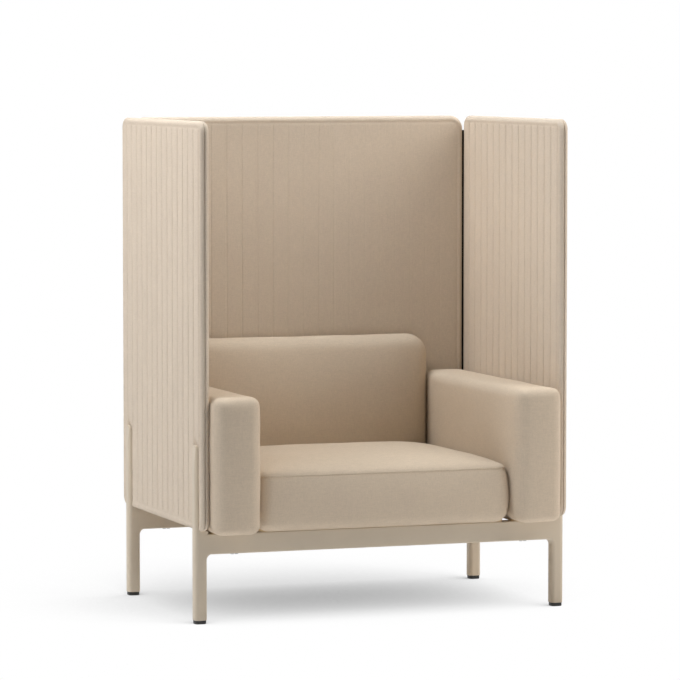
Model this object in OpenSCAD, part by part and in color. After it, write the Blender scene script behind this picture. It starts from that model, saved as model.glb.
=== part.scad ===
// High back lounge chair with quilted acoustic panels on three sides.
// A steel frame on four cast legs carries a seat, two arms and a back cushion.
// The upper ends of the legs run up the outer faces of the side panels as prongs.
// The origin is on the floor under the middle of the chair. +Y points to the back, +Z points up.

/* [Frame] */
// Width over the outer faces of the legs
frame_w = 1080; // [960:10:1300]
// Depth over the front and rear faces of the legs
frame_d = 650; // [600:10:760]
// Height of the top of the rails
rail_top = 245; // [220:5:300]
// Height of a rail
rail_h = 56; // [50:1:70]
// Wall of the rail tube
rail_wall = 2.5; // [2:0.5:4]
// Side of a leg, and depth of a rail
leg_size = 35; // [32:1:42]
// Corner radius of a leg
leg_corner = 10.5; // [6:0.5:12]
// Inner radius where a leg bends into its rail
leg_bend = 16; // [12:1:20]
// Length of rail that is cast with a leg
stub_len = 25; // [22:1:40]
// Height of the top of the prongs above the rails
prong_h = 241; // [160:1:300]
// Thickness of a prong
prong_t = 17; // [15:0.5:18]
// Width of the tubes between the rails
bar_w = 40; // [30:1:50]
// Height of the tubes between the rails
bar_h = 30; // [20:1:40]

/* [Glides] */
// Height of a glide pad
pad_h = 10; // [8:1:16]
// Side of a glide pad
pad_size = 31.5; // [28:0.5:32]
// Diameter of a glide stud
stud_d = 8; // [6:1:10]
// Travel of a glide out of its leg
glide_travel = 10; // [6:1:12]

/* [Panels] */
// Thickness of a quilted panel
panel_t = 28; // [24:1:36]
// Height of the panels
panel_h = 1106; // [760:2:1300]
// Gap from the rails to the lower edges of the panels
panel_lift = 9; // [5:1:20]
// Distance of a side panel behind the outer faces of the legs
panel_inset = 3; // [2:0.5:6]
// Reach of a side panel past the legs, at the front and at the back
panel_reach = 37.5; // [30:0.5:50]
// Corner radius of the side panels
side_corner = 30; // [25:1:60]
// Corner radius of the back panel
back_corner = 40; // [25:1:60]
// Gap between the back panel and a side panel
corner_gap = 4; // [3:0.5:8]
// Distance between two sewn channels
channel_pitch = 47; // [35:1:80]
// Depth of a sewn channel
channel_depth = 4; // [2:0.5:4.5]
// Thickness of the core boards
core_t = 10; // [8:1:12]

/* [Cushions] */
// Width of an arm
arm_w = 136; // [110:1:170]
// Height of an arm above the rails
arm_h = 371; // [300:1:420]
// Reach of an arm past the front legs
arm_nose = 80; // [50:1:90]
// Edge radius of an arm
arm_edge = 30; // [20:1:36]
// Height of the edge of the seat above the rails
seat_h = 165; // [130:1:190]
// Reach of the seat past the front legs
seat_nose = 43; // [36:1:60]
// Rise of the middle of the seat over its edge
seat_crown = 27; // [10:1:35]
// Height of the back cushion
back_h = 481; // [430:1:560]
// Depth of the back cushion at its foot
back_t = 98; // [86:1:130]
// Share of that depth that the back cushion loses at its top
back_taper_share = 0.1; // [0.04:0.01:0.2]
// Radius of the upper corners of the back cushion
back_round = 60; // [40:1:80]
// Thickness of the boards under the cushions
board_t = 12; // [9:1:18]

/* [Hidden] */
$fn = 48;

// Overrun of every cut
cut = 1;
// Clearance of a soft part from what it lies on or beside
soft_gap = 0.3;
// Clearance of a plug, a board or a screw in its hole
fit_gap = 0.5;

// Frame
leg_x = (frame_w - leg_size) / 2;
leg_y = (frame_d - leg_size) / 2;
rail_end = frame_w / 2 - leg_size - stub_len;
rail_bottom = rail_top - rail_h;
rail_corner = 4;
plug_len = 45;
plug_gap = 0.4;
bar_wall = 2;
bar_corner = 3;
bar_top = rail_top;
prong_in = frame_w / 2 - prong_t;
prong_top = rail_top + prong_h;
prong_bevel_h = 45;
prong_bevel_in = 3;
leg_sides = [[-1, -1], [1, -1], [-1, 1], [1, 1]];

// Glides
pad_corner = 9;
pad_foot_h = 1.5;
pad_foot_step = 0.8;
stud_grip = 4;
stud_hold = 16;
stud_len = stud_grip + glide_travel + stud_hold;
stud_play = 0.05;
stud_room = 10;
insert_r = 7;
insert_len = 24;

// Screws
screw_r = 3;
screw_head_r = 5.5;
screw_head_h = 3.2;
rail_screw_grip = 15;
rail_screw_step = 24;

// Panels
edge_r = panel_t / 2;
panel_bottom = rail_top + panel_lift;
panel_x = frame_w / 2 - panel_inset - edge_r;
side_half = frame_d / 2 + panel_reach;
back_behind = 1.5;
back_y = side_half + back_behind;
back_half = panel_x - edge_r - corner_gap;
core_inset = 12;
seam_depth = 2;
seam_half = 0.9;
channel_edge = 16;
channel_stop = 20;
side_channel_shift = -12.6;
back_channel_shift = 9.4;
rib_over = 0.1;
rib_depth = channel_depth + rib_over;
rib_r = (pow(channel_pitch / 2, 2) + pow(rib_depth, 2)) / (2 * rib_depth);
pocket_gap = 1;
strip_t = 16;
strip_drop = 43;
prong_screw_len = 22;
prong_screw_shares = [0.3, 0.72];
prong_screw_heights = [for (share = prong_screw_shares) share * prong_h];

// Brackets of the back panel
bracket_t = 4;
bracket_w = 60;
bracket_place_share = 0.5;
bracket_x = bracket_place_share * back_half;
bracket_h = 175;
bracket_panel_screw_share = 0.3;
bracket_board_screw_share = 0.75;
bracket_foot = 45;
bracket_face = back_y - edge_r;
bracket_screw_x = 15;
bracket_screw_len = 9;
bracket_screw_r = 2.5;
core_screw_grip = 8;

// Cushions
seat_side_gap = 1.5;
back_side_gap = 4;
arm_out = panel_x - edge_r - soft_gap;
arm_in = arm_out - arm_w;
arm_front = -frame_d / 2 - arm_nose;
arm_rear = back_y - edge_r - soft_gap;
arm_corner = 30;
arm_crown = 5;
arm_belly = 2;
arm_depth = arm_rear - arm_front;
seat_half = arm_in - seat_side_gap;
back_cushion_half = arm_in - back_side_gap;
seat_front = -frame_d / 2 - seat_nose;
back_rear = bracket_face - bracket_t - soft_gap;
back_front = back_rear - back_t;
seat_rear = back_front - seat_side_gap;
seat_edge = 22;
seat_edge_rise = 10;
seat_corner = 34;
seat_belly = 7;
seat_draw = 1;
back_edge = 26;
back_crown = 10;
back_belly = 2;
seam_w = 2.5;
seam_in = 1.6;
cushion_foot = rail_top + soft_gap;

// Shift that puts the middle of the whole depth over the origin
depth_shift = (-arm_front - back_y - edge_r) / 2;

// Tubes and boards between the rails
bar_edge = 21;
bar_x = seat_half - bar_edge;
bar_half = frame_d / 2 - leg_size;
cross_y = (back_front + seat_rear) / 2;
board_edge = 12;
board_corner = 15;
seat_board_front = -frame_d / 2 + fit_gap;
seat_board_rear = seat_rear - board_edge;
seat_screw_shares = [0.7, 0.6];
arm_screw_share = 0.33;
arm_board_inset = 14;
back_board_inset = 36;
back_board_lift = 14;
back_board_share = 0.8;
back_board_half = back_cushion_half - back_board_inset;
back_board_foot = rail_top + back_board_lift;
back_board_h = back_board_share * back_h;
board_screw_grip = 9;
board_screw_r = 2.5;
board_screw_head_r = 4.8;

// Moves a part from the frame's own middle to the origin of the whole
module place() {
    translate([0, depth_shift, 0])
        children();
}

// Profiles

module rounded_rect(w, d, r) {
    square([w - 2 * r, d], center = true);
    square([w, d - 2 * r], center = true);
    for (sx = [-1, 1], sy = [-1, 1])
        translate([sx * (w / 2 - r), sy * (d / 2 - r)])
            circle(r = r);
}

// Bar along X with a rounded section, from x0 to x1
module x_bar(x0, x1, d, h, r) {
    translate([x0, 0, 0])
        rotate([90, 0, 90])
            linear_extrude(x1 - x0)
                rounded_rect(d, h, r);
}

// Tube along X with a rounded section, centred
module x_tube(half, d, h, r, wall) {
    difference() {
        x_bar(-half, half, d, h, r);
        x_bar(-half - cut, half + cut, d - 2 * wall, h - 2 * wall, r - wall / 2);
    }
}

// Pan head screw that stands on its head at the origin and points up
module screw(len, r, head_r, head_h) {
    cylinder(r = r, h = len);
    translate([0, 0, -head_h])
        cylinder(r = head_r, h = head_h);
}

// Copies of a right hand part on both sides
module both_sides() {
    children();
    mirror([1, 0, 0])
        children();
}

// Frame

module rail_tube(y) {
    translate([0, y, rail_top - rail_h / 2])
        difference() {
            x_tube(rail_end, leg_size, rail_h, rail_corner, rail_wall);
            for (x = rail_screw_places(), sx = [-1, 1])
                translate([sx * x, 0, -rail_h / 2 - cut])
                    cylinder(r = screw_r + fit_gap / 2, h = rail_wall + 2 * cut);
            for (x = arm_screw_places(), sx = [-1, 1])
                translate([sx * x, 0, -rail_h / 2 - cut])
                    cylinder(r = board_screw_r + fit_gap / 2, h = rail_h + 2 * cut);
        }
}

function rail_screw_places() = [rail_end - rail_screw_grip / 2 - rail_screw_step, rail_end - rail_screw_grip / 2];

function arm_screw_places() = [arm_in + arm_screw_share * arm_w, rail_end - plug_len - screw_head_r];

module front_rail() {
    color([0.64, 0.60, 0.52])
        rail_tube(-leg_y);
}

module rear_rail() {
    color([0.64, 0.60, 0.52])
        difference() {
            rail_tube(leg_y);
            for (place = bracket_rail_places())
                translate([place[0], frame_d / 2 - rail_wall - cut, place[1]])
                    rotate([-90, 0, 0])
                        cylinder(r = bracket_screw_r, h = rail_wall + 2 * cut);
        }
}

// Tube between the rails on the right
module stretcher() {
    translate([bar_x, 0, bar_top - bar_h / 2])
        difference() {
            rotate([0, 0, 90])
                x_tube(bar_half, bar_w, bar_h, bar_corner, bar_wall);
            for (y = seat_screw_places())
                translate([seat_screw_x - bar_x, y, -bar_h])
                    cylinder(r = board_screw_r + fit_gap / 2, h = 2 * bar_h);
        }
}

seat_screw_x = bar_x - bar_w / 4;

function seat_screw_places() = [
    seat_screw_shares[0] * seat_board_front, 0, seat_screw_shares[1] * seat_board_rear
];

module left_stretcher() {
    color([0.30, 0.30, 0.30])
        mirror([1, 0, 0])
            stretcher();
}

module right_stretcher() {
    color([0.30, 0.30, 0.30])
        stretcher();
}

module seat_cross_bar() {
    color([0.30, 0.30, 0.30])
        translate([0, cross_y, bar_top - bar_h / 2])
            x_tube(bar_x - bar_w / 2, bar_w, bar_h, bar_corner, bar_wall);
}

// Leg of the right hand front, in place. The rail end plugs into the rail tube.
module leg() {
    bend_x = rail_end_of_leg - leg_bend;
    difference() {
        union() {
            translate([leg_x, -leg_y, pad_h])
                linear_extrude(rail_top - pad_h)
                    rounded_rect(leg_size, leg_size, leg_corner);
            translate([0, -leg_y, rail_top - rail_h / 2])
                x_bar(rail_end, leg_x, leg_size, rail_h, rail_corner);
            translate([bend_x, -leg_y, rail_bottom - leg_bend])
                rotate([90, 0, 0])
                    rotate_extrude(angle = 90)
                        translate([leg_bend + leg_size / 2, 0])
                            rounded_rect(leg_size, leg_size, leg_corner);
            translate([0, -leg_y, rail_top - rail_h / 2])
                x_bar(rail_end - plug_len, rail_end + cut, leg_size - 2 * rail_wall - 2 * plug_gap,
                    rail_h - 2 * rail_wall - 2 * plug_gap, rail_corner / 2);
            prong();
        }
        translate([leg_x, -leg_y, pad_h - cut])
            cylinder(r = insert_r, h = insert_len + cut);
        translate([leg_x, -leg_y, pad_h])
            cylinder(r = stud_d / 2 + fit_gap, h = stud_len - stud_grip + stud_room);
        for (x = rail_screw_places())
            translate([x, -leg_y, rail_bottom])
                cylinder(r = screw_r, h = rail_wall + rail_screw_grip);
        for (h = prong_screw_heights)
            translate([prong_in - cut, -leg_y, rail_top + h])
                rotate([0, 90, 0])
                    cylinder(r = screw_r, h = prong_screw_len - core_behind - cover_t + cut);
    }
}

rail_end_of_leg = frame_w / 2 - leg_size;
cover_t = (panel_t - core_t) / 2;
core_behind = prong_in - panel_x + core_t / 2;

// Upper end of a leg, which lies in the pocket of the side panel and has a round, bevelled tip
module prong() {
    intersection() {
        translate([leg_x, -leg_y, rail_top])
            linear_extrude(prong_h)
                rounded_rect(leg_size, leg_size, leg_corner);
        translate([prong_in, -leg_y, rail_top])
            rotate([90, 0, 90])
                linear_extrude(prong_t)
                    prong_face(leg_size, prong_h);
        translate([0, -leg_y + leg_size / 2, 0])
            rotate([90, 0, 0])
                linear_extrude(leg_size)
                    polygon([
                        [prong_in, rail_top], [frame_w / 2, rail_top], [frame_w / 2, prong_top - prong_bevel_h],
                        [frame_w / 2 - prong_bevel_in, prong_top], [prong_in, prong_top]
                    ]);
    }
}

// Outline of a prong with a half round top, centred on its width, with its foot at zero
module prong_face(w, h) {
    translate([-w / 2, 0])
        square([w, h - w / 2]);
    translate([0, h - w / 2])
        circle(d = w);
}

module front_left_leg() {
    color([0.64, 0.60, 0.52])
        mirror([1, 0, 0])
            leg();
}

module front_right_leg() {
    color([0.64, 0.60, 0.52])
        leg();
}

module rear_left_leg() {
    color([0.64, 0.60, 0.52])
        mirror([1, 0, 0])
            mirror([0, 1, 0])
                leg();
}

module rear_right_leg() {
    color([0.64, 0.60, 0.52])
        mirror([0, 1, 0])
            leg();
}

// Threaded inserts in the feet of the legs
module foot_inserts() {
    color([0.72, 0.60, 0.30])
        for (side = leg_sides)
            translate([side[0] * leg_x, side[1] * leg_y, pad_h])
                difference() {
                    cylinder(r = insert_r, h = insert_len);
                    translate([0, 0, -cut])
                        cylinder(r = stud_d / 2 + stud_play, h = insert_len + 2 * cut);
                }
}

module glide_pad(side) {
    color([0.08, 0.08, 0.08])
        translate([side[0] * leg_x, side[1] * leg_y, 0])
            difference() {
                union() {
                    translate([0, 0, pad_foot_h])
                        linear_extrude(pad_h - pad_foot_h)
                            rounded_rect(pad_size, pad_size, pad_corner);
                    linear_extrude(pad_foot_h)
                        rounded_rect(pad_size - 2 * pad_foot_step, pad_size - 2 * pad_foot_step,
                            pad_corner - pad_foot_step);
                }
                translate([0, 0, pad_h - stud_grip])
                    cylinder(r = stud_d / 2, h = stud_grip + cut);
            }
}

module glide_stud(side) {
    color([0.70, 0.70, 0.72])
        translate([side[0] * leg_x, side[1] * leg_y, pad_h - stud_grip])
            cylinder(r = stud_d / 2, h = stud_len);
}

module front_left_glide_pad() { glide_pad(leg_sides[0]); }
module front_right_glide_pad() { glide_pad(leg_sides[1]); }
module rear_left_glide_pad() { glide_pad(leg_sides[2]); }
module rear_right_glide_pad() { glide_pad(leg_sides[3]); }
module front_left_glide_stud() { glide_stud(leg_sides[0]); }
module front_right_glide_stud() { glide_stud(leg_sides[1]); }
module rear_left_glide_stud() { glide_stud(leg_sides[2]); }
module rear_right_glide_stud() { glide_stud(leg_sides[3]); }

// Screws from below that hold the rail tubes on the plugs of the legs
module rail_screws() {
    color([0.60, 0.60, 0.62])
        for (x = rail_screw_places(), side = leg_sides)
            translate([side[0] * x, side[1] * leg_y, rail_bottom])
                screw(rail_wall + rail_screw_grip, screw_r, screw_head_r, screw_head_h);
}

// Quilted panels. A panel lies on its middle plane, its width is X and its height is Y.

// Quarter of a disc
module quarter(r) {
    intersection() {
        circle(r = r);
        square([r, r]);
    }
}

// Section of a panel's edge, from the middle of a corner to the outside
module edge_section(r) {
    square([r - edge_r, edge_r]);
    translate([r - edge_r, 0])
        quarter(edge_r);
}

// Half of the thickness of a panel, with half round edges and round corners
module half_slab(half_w, h, corner) {
    for (side = [0, 1])
        mirror([side, 0, 0])
            translate([0, corner, 0]) {
                rotate([90, 0, 180])
                    mirror([1, 0, 0])
                        linear_extrude(h - 2 * corner)
                            edge_section(half_w);
                translate([half_w - corner, h - 2 * corner, 0])
                    rotate_extrude(angle = 90)
                        edge_section(corner);
                translate([half_w - corner, 0, 0])
                    rotate([0, 0, -90])
                        rotate_extrude(angle = 90)
                            edge_section(corner);
            }
    for (side = [0, 1])
        translate([0, side * h, 0])
            mirror([0, side, 0])
                translate([half_w - corner, corner, 0])
                    rotate([90, 0, -90])
                        linear_extrude(2 * (half_w - corner))
                            edge_section(corner);
}

module panel_outline(half_w, h, corner, inset) {
    translate([0, h / 2])
        rounded_rect(2 * (half_w - inset), h - 2 * inset, corner - inset);
}

// Places of the sewn channels across a panel
function channels(half_w, shift) =
    let (room = half_w - channel_edge)
        [for (i = [ceil((-room - shift) / channel_pitch) : floor((room - shift) / channel_pitch)])
            i * channel_pitch + shift];

// Section of a channel: the valley between two full ribs
module channel_section() {
    difference() {
        translate([-channel_pitch / 2, edge_r - channel_depth - cut])
            square([channel_pitch, channel_depth + 2 * cut]);
        for (side = [-1, 1])
            translate([side * channel_pitch / 2, edge_r + rib_over - rib_r])
                circle(r = rib_r);
    }
}

// Cover of one face of a panel, with its sewn channels and the pocket for the core board
module cover(half_w, h, corner, shift) {
    difference() {
        half_slab(half_w, h, corner);
        for (x = channels(half_w, shift))
            translate([x, h - channel_stop, 0])
                rotate([90, 0, 0])
                    linear_extrude(h - 2 * channel_stop)
                        channel_section();
        translate([0, 0, -cut])
            linear_extrude(core_t / 2 + cut)
                panel_outline(half_w, h, corner, core_inset);
        translate([0, 0, -cut])
            linear_extrude(seam_half + cut)
                difference() {
                    panel_outline(half_w, h, corner, -cut);
                    panel_outline(half_w, h, corner, seam_depth);
                }
    }
}

module core(half_w, h, corner) {
    translate([0, 0, -core_t / 2])
        linear_extrude(core_t)
            panel_outline(half_w, h, corner, core_inset + soft_gap);
}

// Places a flat part on the middle plane of the right hand side panel
module on_side() {
    translate([panel_x, 0, panel_bottom])
        rotate([90, 0, 90])
            children();
}

// Places a flat part on the middle plane of the back panel, with its face to the rear
module on_back() {
    translate([0, back_y, panel_bottom])
        rotate([90, 0, 180])
            children();
}

// Room for the prongs in the outer face of the side panel
module prong_pockets(gap) {
    for (side = [-1, 1])
        translate([prong_in - gap, side * leg_y, rail_top])
            rotate([90, 0, 90])
                linear_extrude(prong_t + 2 * gap + cut)
                    prong_face(leg_size + 2 * gap, prong_h + gap);
}

// Holes along X through the inner part of a side panel, for the screws of the prongs
module prong_screw_holes(r) {
    for (side = [-1, 1], h = prong_screw_heights)
        translate([panel_x - edge_r - cut, side * leg_y, rail_top + h])
            rotate([0, 90, 0])
                cylinder(r = r, h = edge_r + cut);
}

module side_core() {
    difference() {
        on_side()
            core(side_half, panel_h, side_corner);
        prong_pockets(soft_gap);
        prong_screw_holes(screw_r + fit_gap / 2);
    }
}

module side_outer_cover() {
    difference() {
        on_side()
            cover(side_half, panel_h, side_corner, side_channel_shift);
        prong_pockets(pocket_gap);
    }
}

module side_inner_cover() {
    difference() {
        on_side()
            mirror([0, 0, 1])
                cover(side_half, panel_h, side_corner, side_channel_shift);
        prong_screw_holes(screw_head_r + fit_gap);
    }
}

module left_panel_core() {
    color([0.70, 0.58, 0.42])
        mirror([1, 0, 0])
            side_core();
}

module right_panel_core() {
    color([0.70, 0.58, 0.42])
        side_core();
}

module left_panel_outer_cover() {
    color([0.80, 0.73, 0.65])
        mirror([1, 0, 0])
            side_outer_cover();
}

module left_panel_inner_cover() {
    color([0.78, 0.71, 0.63])
        mirror([1, 0, 0])
            side_inner_cover();
}

module right_panel_outer_cover() {
    color([0.80, 0.73, 0.65])
        side_outer_cover();
}

module right_panel_inner_cover() {
    color([0.78, 0.71, 0.63])
        side_inner_cover();
}

module back_panel_core() {
    color([0.70, 0.58, 0.42])
        difference() {
            on_back()
                core(back_half, panel_h, back_corner);
            for (place = bracket_panel_places())
                translate([place[0], bracket_face - cut, place[1]])
                    rotate([-90, 0, 0])
                        cylinder(r = bracket_screw_r, h = cover_t + core_screw_grip + 2 * cut);
        }
}

module back_panel_front_cover() {
    color([0.75, 0.67, 0.58])
        difference() {
            on_back()
                mirror([0, 0, 1])
                    cover(back_half, panel_h, back_corner, -back_channel_shift);
            for (place = bracket_panel_places())
                translate([place[0], bracket_face - cut, place[1]])
                    rotate([-90, 0, 0])
                        cylinder(r = bracket_screw_r + fit_gap, h = edge_r + cut);
        }
}

module back_panel_rear_cover() {
    color([0.80, 0.73, 0.65])
        on_back()
            cover(back_half, panel_h, back_corner, -back_channel_shift);
}

// Strip that closes the corner between the back panel and the right hand side panel.
// Its two hollow faces lie against the round edges of the panels.
module corner_strip() {
    side_roll = [panel_x, side_half - edge_r];
    back_roll = [back_half - edge_r, back_y];
    middle = (side_roll + back_roll) / 2;
    turn = atan2(side_roll[1] - back_roll[1], side_roll[0] - back_roll[0]);
    translate([0, 0, panel_bottom])
        linear_extrude(panel_h - strip_drop)
            difference() {
                translate(middle)
                    rotate(turn)
                        square([panel_t, strip_t], center = true);
                for (roll = [side_roll, back_roll])
                    translate(roll)
                        circle(r = edge_r + soft_gap);
            }
}

module left_corner_strip() {
    color([0.06, 0.06, 0.06])
        mirror([1, 0, 0])
            corner_strip();
}

module right_corner_strip() {
    color([0.06, 0.06, 0.06])
        corner_strip();
}

// Screws that hold the side panels on the prongs, from the inside
module prong_screws() {
    color([0.60, 0.60, 0.62])
        both_sides()
            for (side = [-1, 1], h = prong_screw_heights)
                translate([panel_x - core_t / 2, side * leg_y, rail_top + h])
                    rotate([0, 90, 0])
                        screw(prong_screw_len - cover_t, screw_r, screw_head_r, screw_head_h);
}

// Brackets that hold the back panel on the rear rail

// Plate that lies on the rear of the rail, steps back over it and rises along the panel
module back_bracket() {
    rail_face = frame_d / 2;
    step = panel_bottom - panel_lift;
    outline = [
        [rail_face, step - bracket_foot], [rail_face + bracket_t, step - bracket_foot],
        [rail_face + bracket_t, step - bracket_t], [bracket_face, step - bracket_t],
        [bracket_face, step + bracket_h], [bracket_face - bracket_t, step + bracket_h],
        [bracket_face - bracket_t, step], [rail_face, step]
    ];
    difference() {
        translate([bracket_x - bracket_w / 2, 0, 0])
            rotate([90, 0, 90])
                linear_extrude(bracket_w)
                    polygon(outline);
        for (place = bracket_rail_places())
            translate([place[0], rail_face - cut, place[1]])
                rotate([-90, 0, 0])
                    cylinder(r = bracket_screw_r + fit_gap / 2, h = bracket_t + 2 * cut);
        for (place = bracket_panel_places())
            translate([place[0], bracket_face - bracket_t - cut, place[1]])
                rotate([-90, 0, 0])
                    cylinder(r = bracket_screw_r + fit_gap / 2, h = bracket_t + 2 * cut);
    }
}

function bracket_rail_places() = [
    for (sx = [-1, 1], side = [-1, 1])
        [sx * bracket_x + side * bracket_screw_x, rail_top - bracket_foot / 2]
];

function bracket_panel_places() = [
    for (sx = [-1, 1], side = [-1, 1])
        [sx * bracket_x + side * bracket_screw_x, rail_top + bracket_panel_screw_share * bracket_h]
];

module left_back_bracket() {
    color([0.30, 0.30, 0.30])
        mirror([1, 0, 0])
            back_bracket();
}

module right_back_bracket() {
    color([0.30, 0.30, 0.30])
        back_bracket();
}

module bracket_rail_screws() {
    color([0.60, 0.60, 0.62])
        for (place = bracket_rail_places())
            translate([place[0], frame_d / 2 + bracket_t, place[1]])
                rotate([90, 0, 0])
                    screw(bracket_t + bracket_screw_len, bracket_screw_r, board_screw_head_r, screw_head_h);
}

module bracket_panel_screws() {
    color([0.60, 0.60, 0.62])
        for (place = bracket_panel_places())
            translate([place[0], bracket_face - bracket_t, place[1]])
                rotate([-90, 0, 0])
                    screw(bracket_t + cover_t + core_screw_grip, bracket_screw_r, board_screw_head_r,
                        screw_head_h);
}

// Boards under and behind the cushions

// Flat board from corner to corner, lying on the tubes
module flat_board(x0, x1, y0, y1) {
    translate([(x0 + x1) / 2, (y0 + y1) / 2, rail_top])
        linear_extrude(board_t)
            rounded_rect(x1 - x0, y1 - y0, board_corner);
}

module seat_board() {
    color([0.72, 0.60, 0.44])
        difference() {
            flat_board(-seat_half + board_edge, seat_half - board_edge, seat_board_front, seat_board_rear);
            for (sx = [-1, 1], y = seat_screw_places())
                translate([sx * seat_screw_x, y, rail_top - cut])
                    cylinder(r = board_screw_r, h = board_screw_grip + cut);
        }
}

module arm_board() {
    difference() {
        flat_board(arm_in + arm_board_inset, arm_out - arm_board_inset, -frame_d / 2 + fit_gap,
            frame_d / 2 - fit_gap);
        for (x = arm_screw_places(), side = [-1, 1])
            translate([x, side * leg_y, rail_top - cut])
                cylinder(r = board_screw_r, h = board_screw_grip + cut);
    }
}

module left_arm_board() {
    color([0.72, 0.60, 0.44])
        mirror([1, 0, 0])
            arm_board();
}

module right_arm_board() {
    color([0.72, 0.60, 0.44])
        arm_board();
}

module back_board() {
    color([0.72, 0.60, 0.44])
        difference() {
            translate([0, back_rear + soft_gap, back_board_foot + back_board_h / 2])
                rotate([90, 0, 0])
                    linear_extrude(board_t)
                        rounded_rect(2 * back_board_half, back_board_h, board_corner);
            for (place = back_screw_places())
                translate([place[0], back_rear + soft_gap + cut, place[1]])
                    rotate([90, 0, 0])
                        cylinder(r = board_screw_r, h = board_screw_grip + cut);
            for (place = bracket_panel_places())
                translate([place[0], back_rear + soft_gap + cut, place[1]])
                    rotate([90, 0, 0])
                        cylinder(r = board_screw_head_r + fit_gap, h = screw_head_h + 2 * cut);
        }
}

module seat_board_screws() {
    color([0.60, 0.60, 0.62])
        for (sx = [-1, 1], y = seat_screw_places())
            translate([sx * seat_screw_x, y, bar_top - bar_h])
                screw(bar_h + board_screw_grip, board_screw_r, board_screw_head_r, screw_head_h);
}

module arm_board_screws() {
    color([0.60, 0.60, 0.62])
        for (x = arm_screw_places(), side = leg_sides)
            translate([side[0] * x, side[1] * leg_y, rail_bottom])
                screw(rail_h + board_screw_grip, board_screw_r, board_screw_head_r, screw_head_h);
}

function back_screw_places() = [
    for (sx = [-1, 1])
        [sx * bracket_x, rail_top + bracket_board_screw_share * bracket_h]
];

module back_board_screws() {
    color([0.60, 0.60, 0.62])
        for (place = back_screw_places())
            translate([place[0], back_rear + soft_gap, place[1]])
                rotate([90, 0, 0])
                    cylinder(r = board_screw_r, h = board_screw_grip);
}

// Cushions. A cushion is a loft of closed rings, each a rounded rectangle with its sides drawn in.

corner_steps = 5;
side_steps = 5;
arc_steps = 5;
belly_steps = 3;
crown_steps = 5;

// Points of one side of a ring, after a corner: the middle is drawn in by draw
function side_points(a, b, normal, draw) = [
    for (i = [1 : side_steps - 1])
        let (t = i / side_steps)
            a + (b - a) * t - normal * draw * sin(180 * t)
];

// Rounded rectangle round the point mid, counterclockwise from the right hand rear corner
function ring_outline(mid, hx, hy, r, draw) = [
    for (k = [0 : 3])
        let (
            sx = [1, -1, -1, 1][k],
            sy = [1, 1, -1, -1][k],
            nx = [-1, -1, 1, 1][k],
            ny = [1, -1, -1, 1][k],
            centre = mid + [sx * (hx - r), sy * (hy - r)],
            next = mid + [nx * (hx - r), ny * (hy - r)],
            last = 90 * (k + 1),
            out = [cos(last), sin(last)]
        )
            each concat(
                [for (i = [0 : corner_steps])
                    let (a = 90 * k + 90 * i / corner_steps)
                        centre + r * [cos(a), sin(a)]],
                side_points(centre + r * out, next + r * out, out, draw)
            )
];

// Inset and height of each ring from the foot of the side to its top.
// The foot and the top are quarter rounds, the upper one top_r wide and top_h high,
// and the side between them swells by belly to the full size.
// A seam is a narrow fold just under the upper round.
function side_profile(h, foot_r, top_r, top_h, belly, seam) = concat(
    [for (i = [0 : arc_steps])
        let (a = 90 * i / arc_steps)
            [belly + foot_r * (1 - sin(a)), foot_r * (1 - cos(a))]],
    [for (i = [1 : belly_steps])
        let (t = i / (belly_steps + 1))
            [belly * (1 - sin(180 * t)), foot_r + (h - foot_r - top_h - seam_w) * t]],
    seam ? [[belly, h - top_h - seam_w], [belly + seam_in, h - top_h - seam_w / 2]] : [],
    [for (i = [0 : arc_steps])
        let (a = 90 * i / arc_steps)
            [belly + top_r * (1 - cos(a)), h - top_h + top_h * sin(a)]]
);

// Rise of a crowned face over its edge at the place p
function rise(p, hx, hy, crown) =
    crown * max(0, 1 - pow(p[0] / hx, 4)) * max(0, 1 - pow(p[1] / hy, 4));

// All rings of a cushion, from the ceiling of the recess in its foot to its crown.
// recess holds the middle, the two half widths, the corner radius and the height of the recess.
function cushion_rings(hx, hy, r, profile, crown, draw, recess) =
    let (
        hollow = ring_outline(recess[0], recess[1][0], recess[1][1], recess[2], 0),
        top = profile[len(profile) - 1],
        rim = ring_outline([0, 0], hx - top[0], hy - top[0], max(r - top[0], r / 4), draw)
    )
        concat(
            [[for (p = hollow) [p[0], p[1], recess[3]]]],
            [[for (p = hollow) [p[0], p[1], 0]]],
            [for (step = profile)
                [for (p = ring_outline([0, 0], hx - step[0], hy - step[0], max(r - step[0], r / 4), draw))
                    [p[0], p[1], step[1]]]],
            [for (i = [1 : crown_steps])
                let (s = sqrt(1 - i / (crown_steps + 1)))
                    [for (p = rim) [s * p[0], s * p[1], top[1] + rise(s * p, hx, hy, crown)]]]
        );

// Thins a cushion towards its +Y end by a share of its height
function tapered(p, hy, taper) = [p[0], p[1], p[2] * (1 - taper * (p[1] + hy) / (2 * hy))];

// Number of rings that make the recess, which keeps its depth
recess_rings = 2;

// Closes the rings at both ends with a fan of triangles
module ring_loft(rings, foot_tip, top_tip) {
    n = len(rings[0]);
    m = len(rings);
    last = n * m + 1;
    polyhedron(
        points = concat([foot_tip], [for (ring = rings) each ring], [top_tip]),
        faces = concat(
            [for (j = [0 : n - 1]) [0, 1 + j, 1 + (j + 1) % n]],
            [for (i = [0 : m - 2], j = [0 : n - 1])
                [1 + i * n + j, 1 + (i + 1) * n + j, 1 + (i + 1) * n + (j + 1) % n]],
            [for (i = [0 : m - 2], j = [0 : n - 1])
                [1 + i * n + j, 1 + (i + 1) * n + (j + 1) % n, 1 + i * n + (j + 1) % n]],
            [for (j = [0 : n - 1]) [last, 1 + (m - 1) * n + (j + 1) % n, 1 + (m - 1) * n + j]]
        )
    );
}

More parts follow.
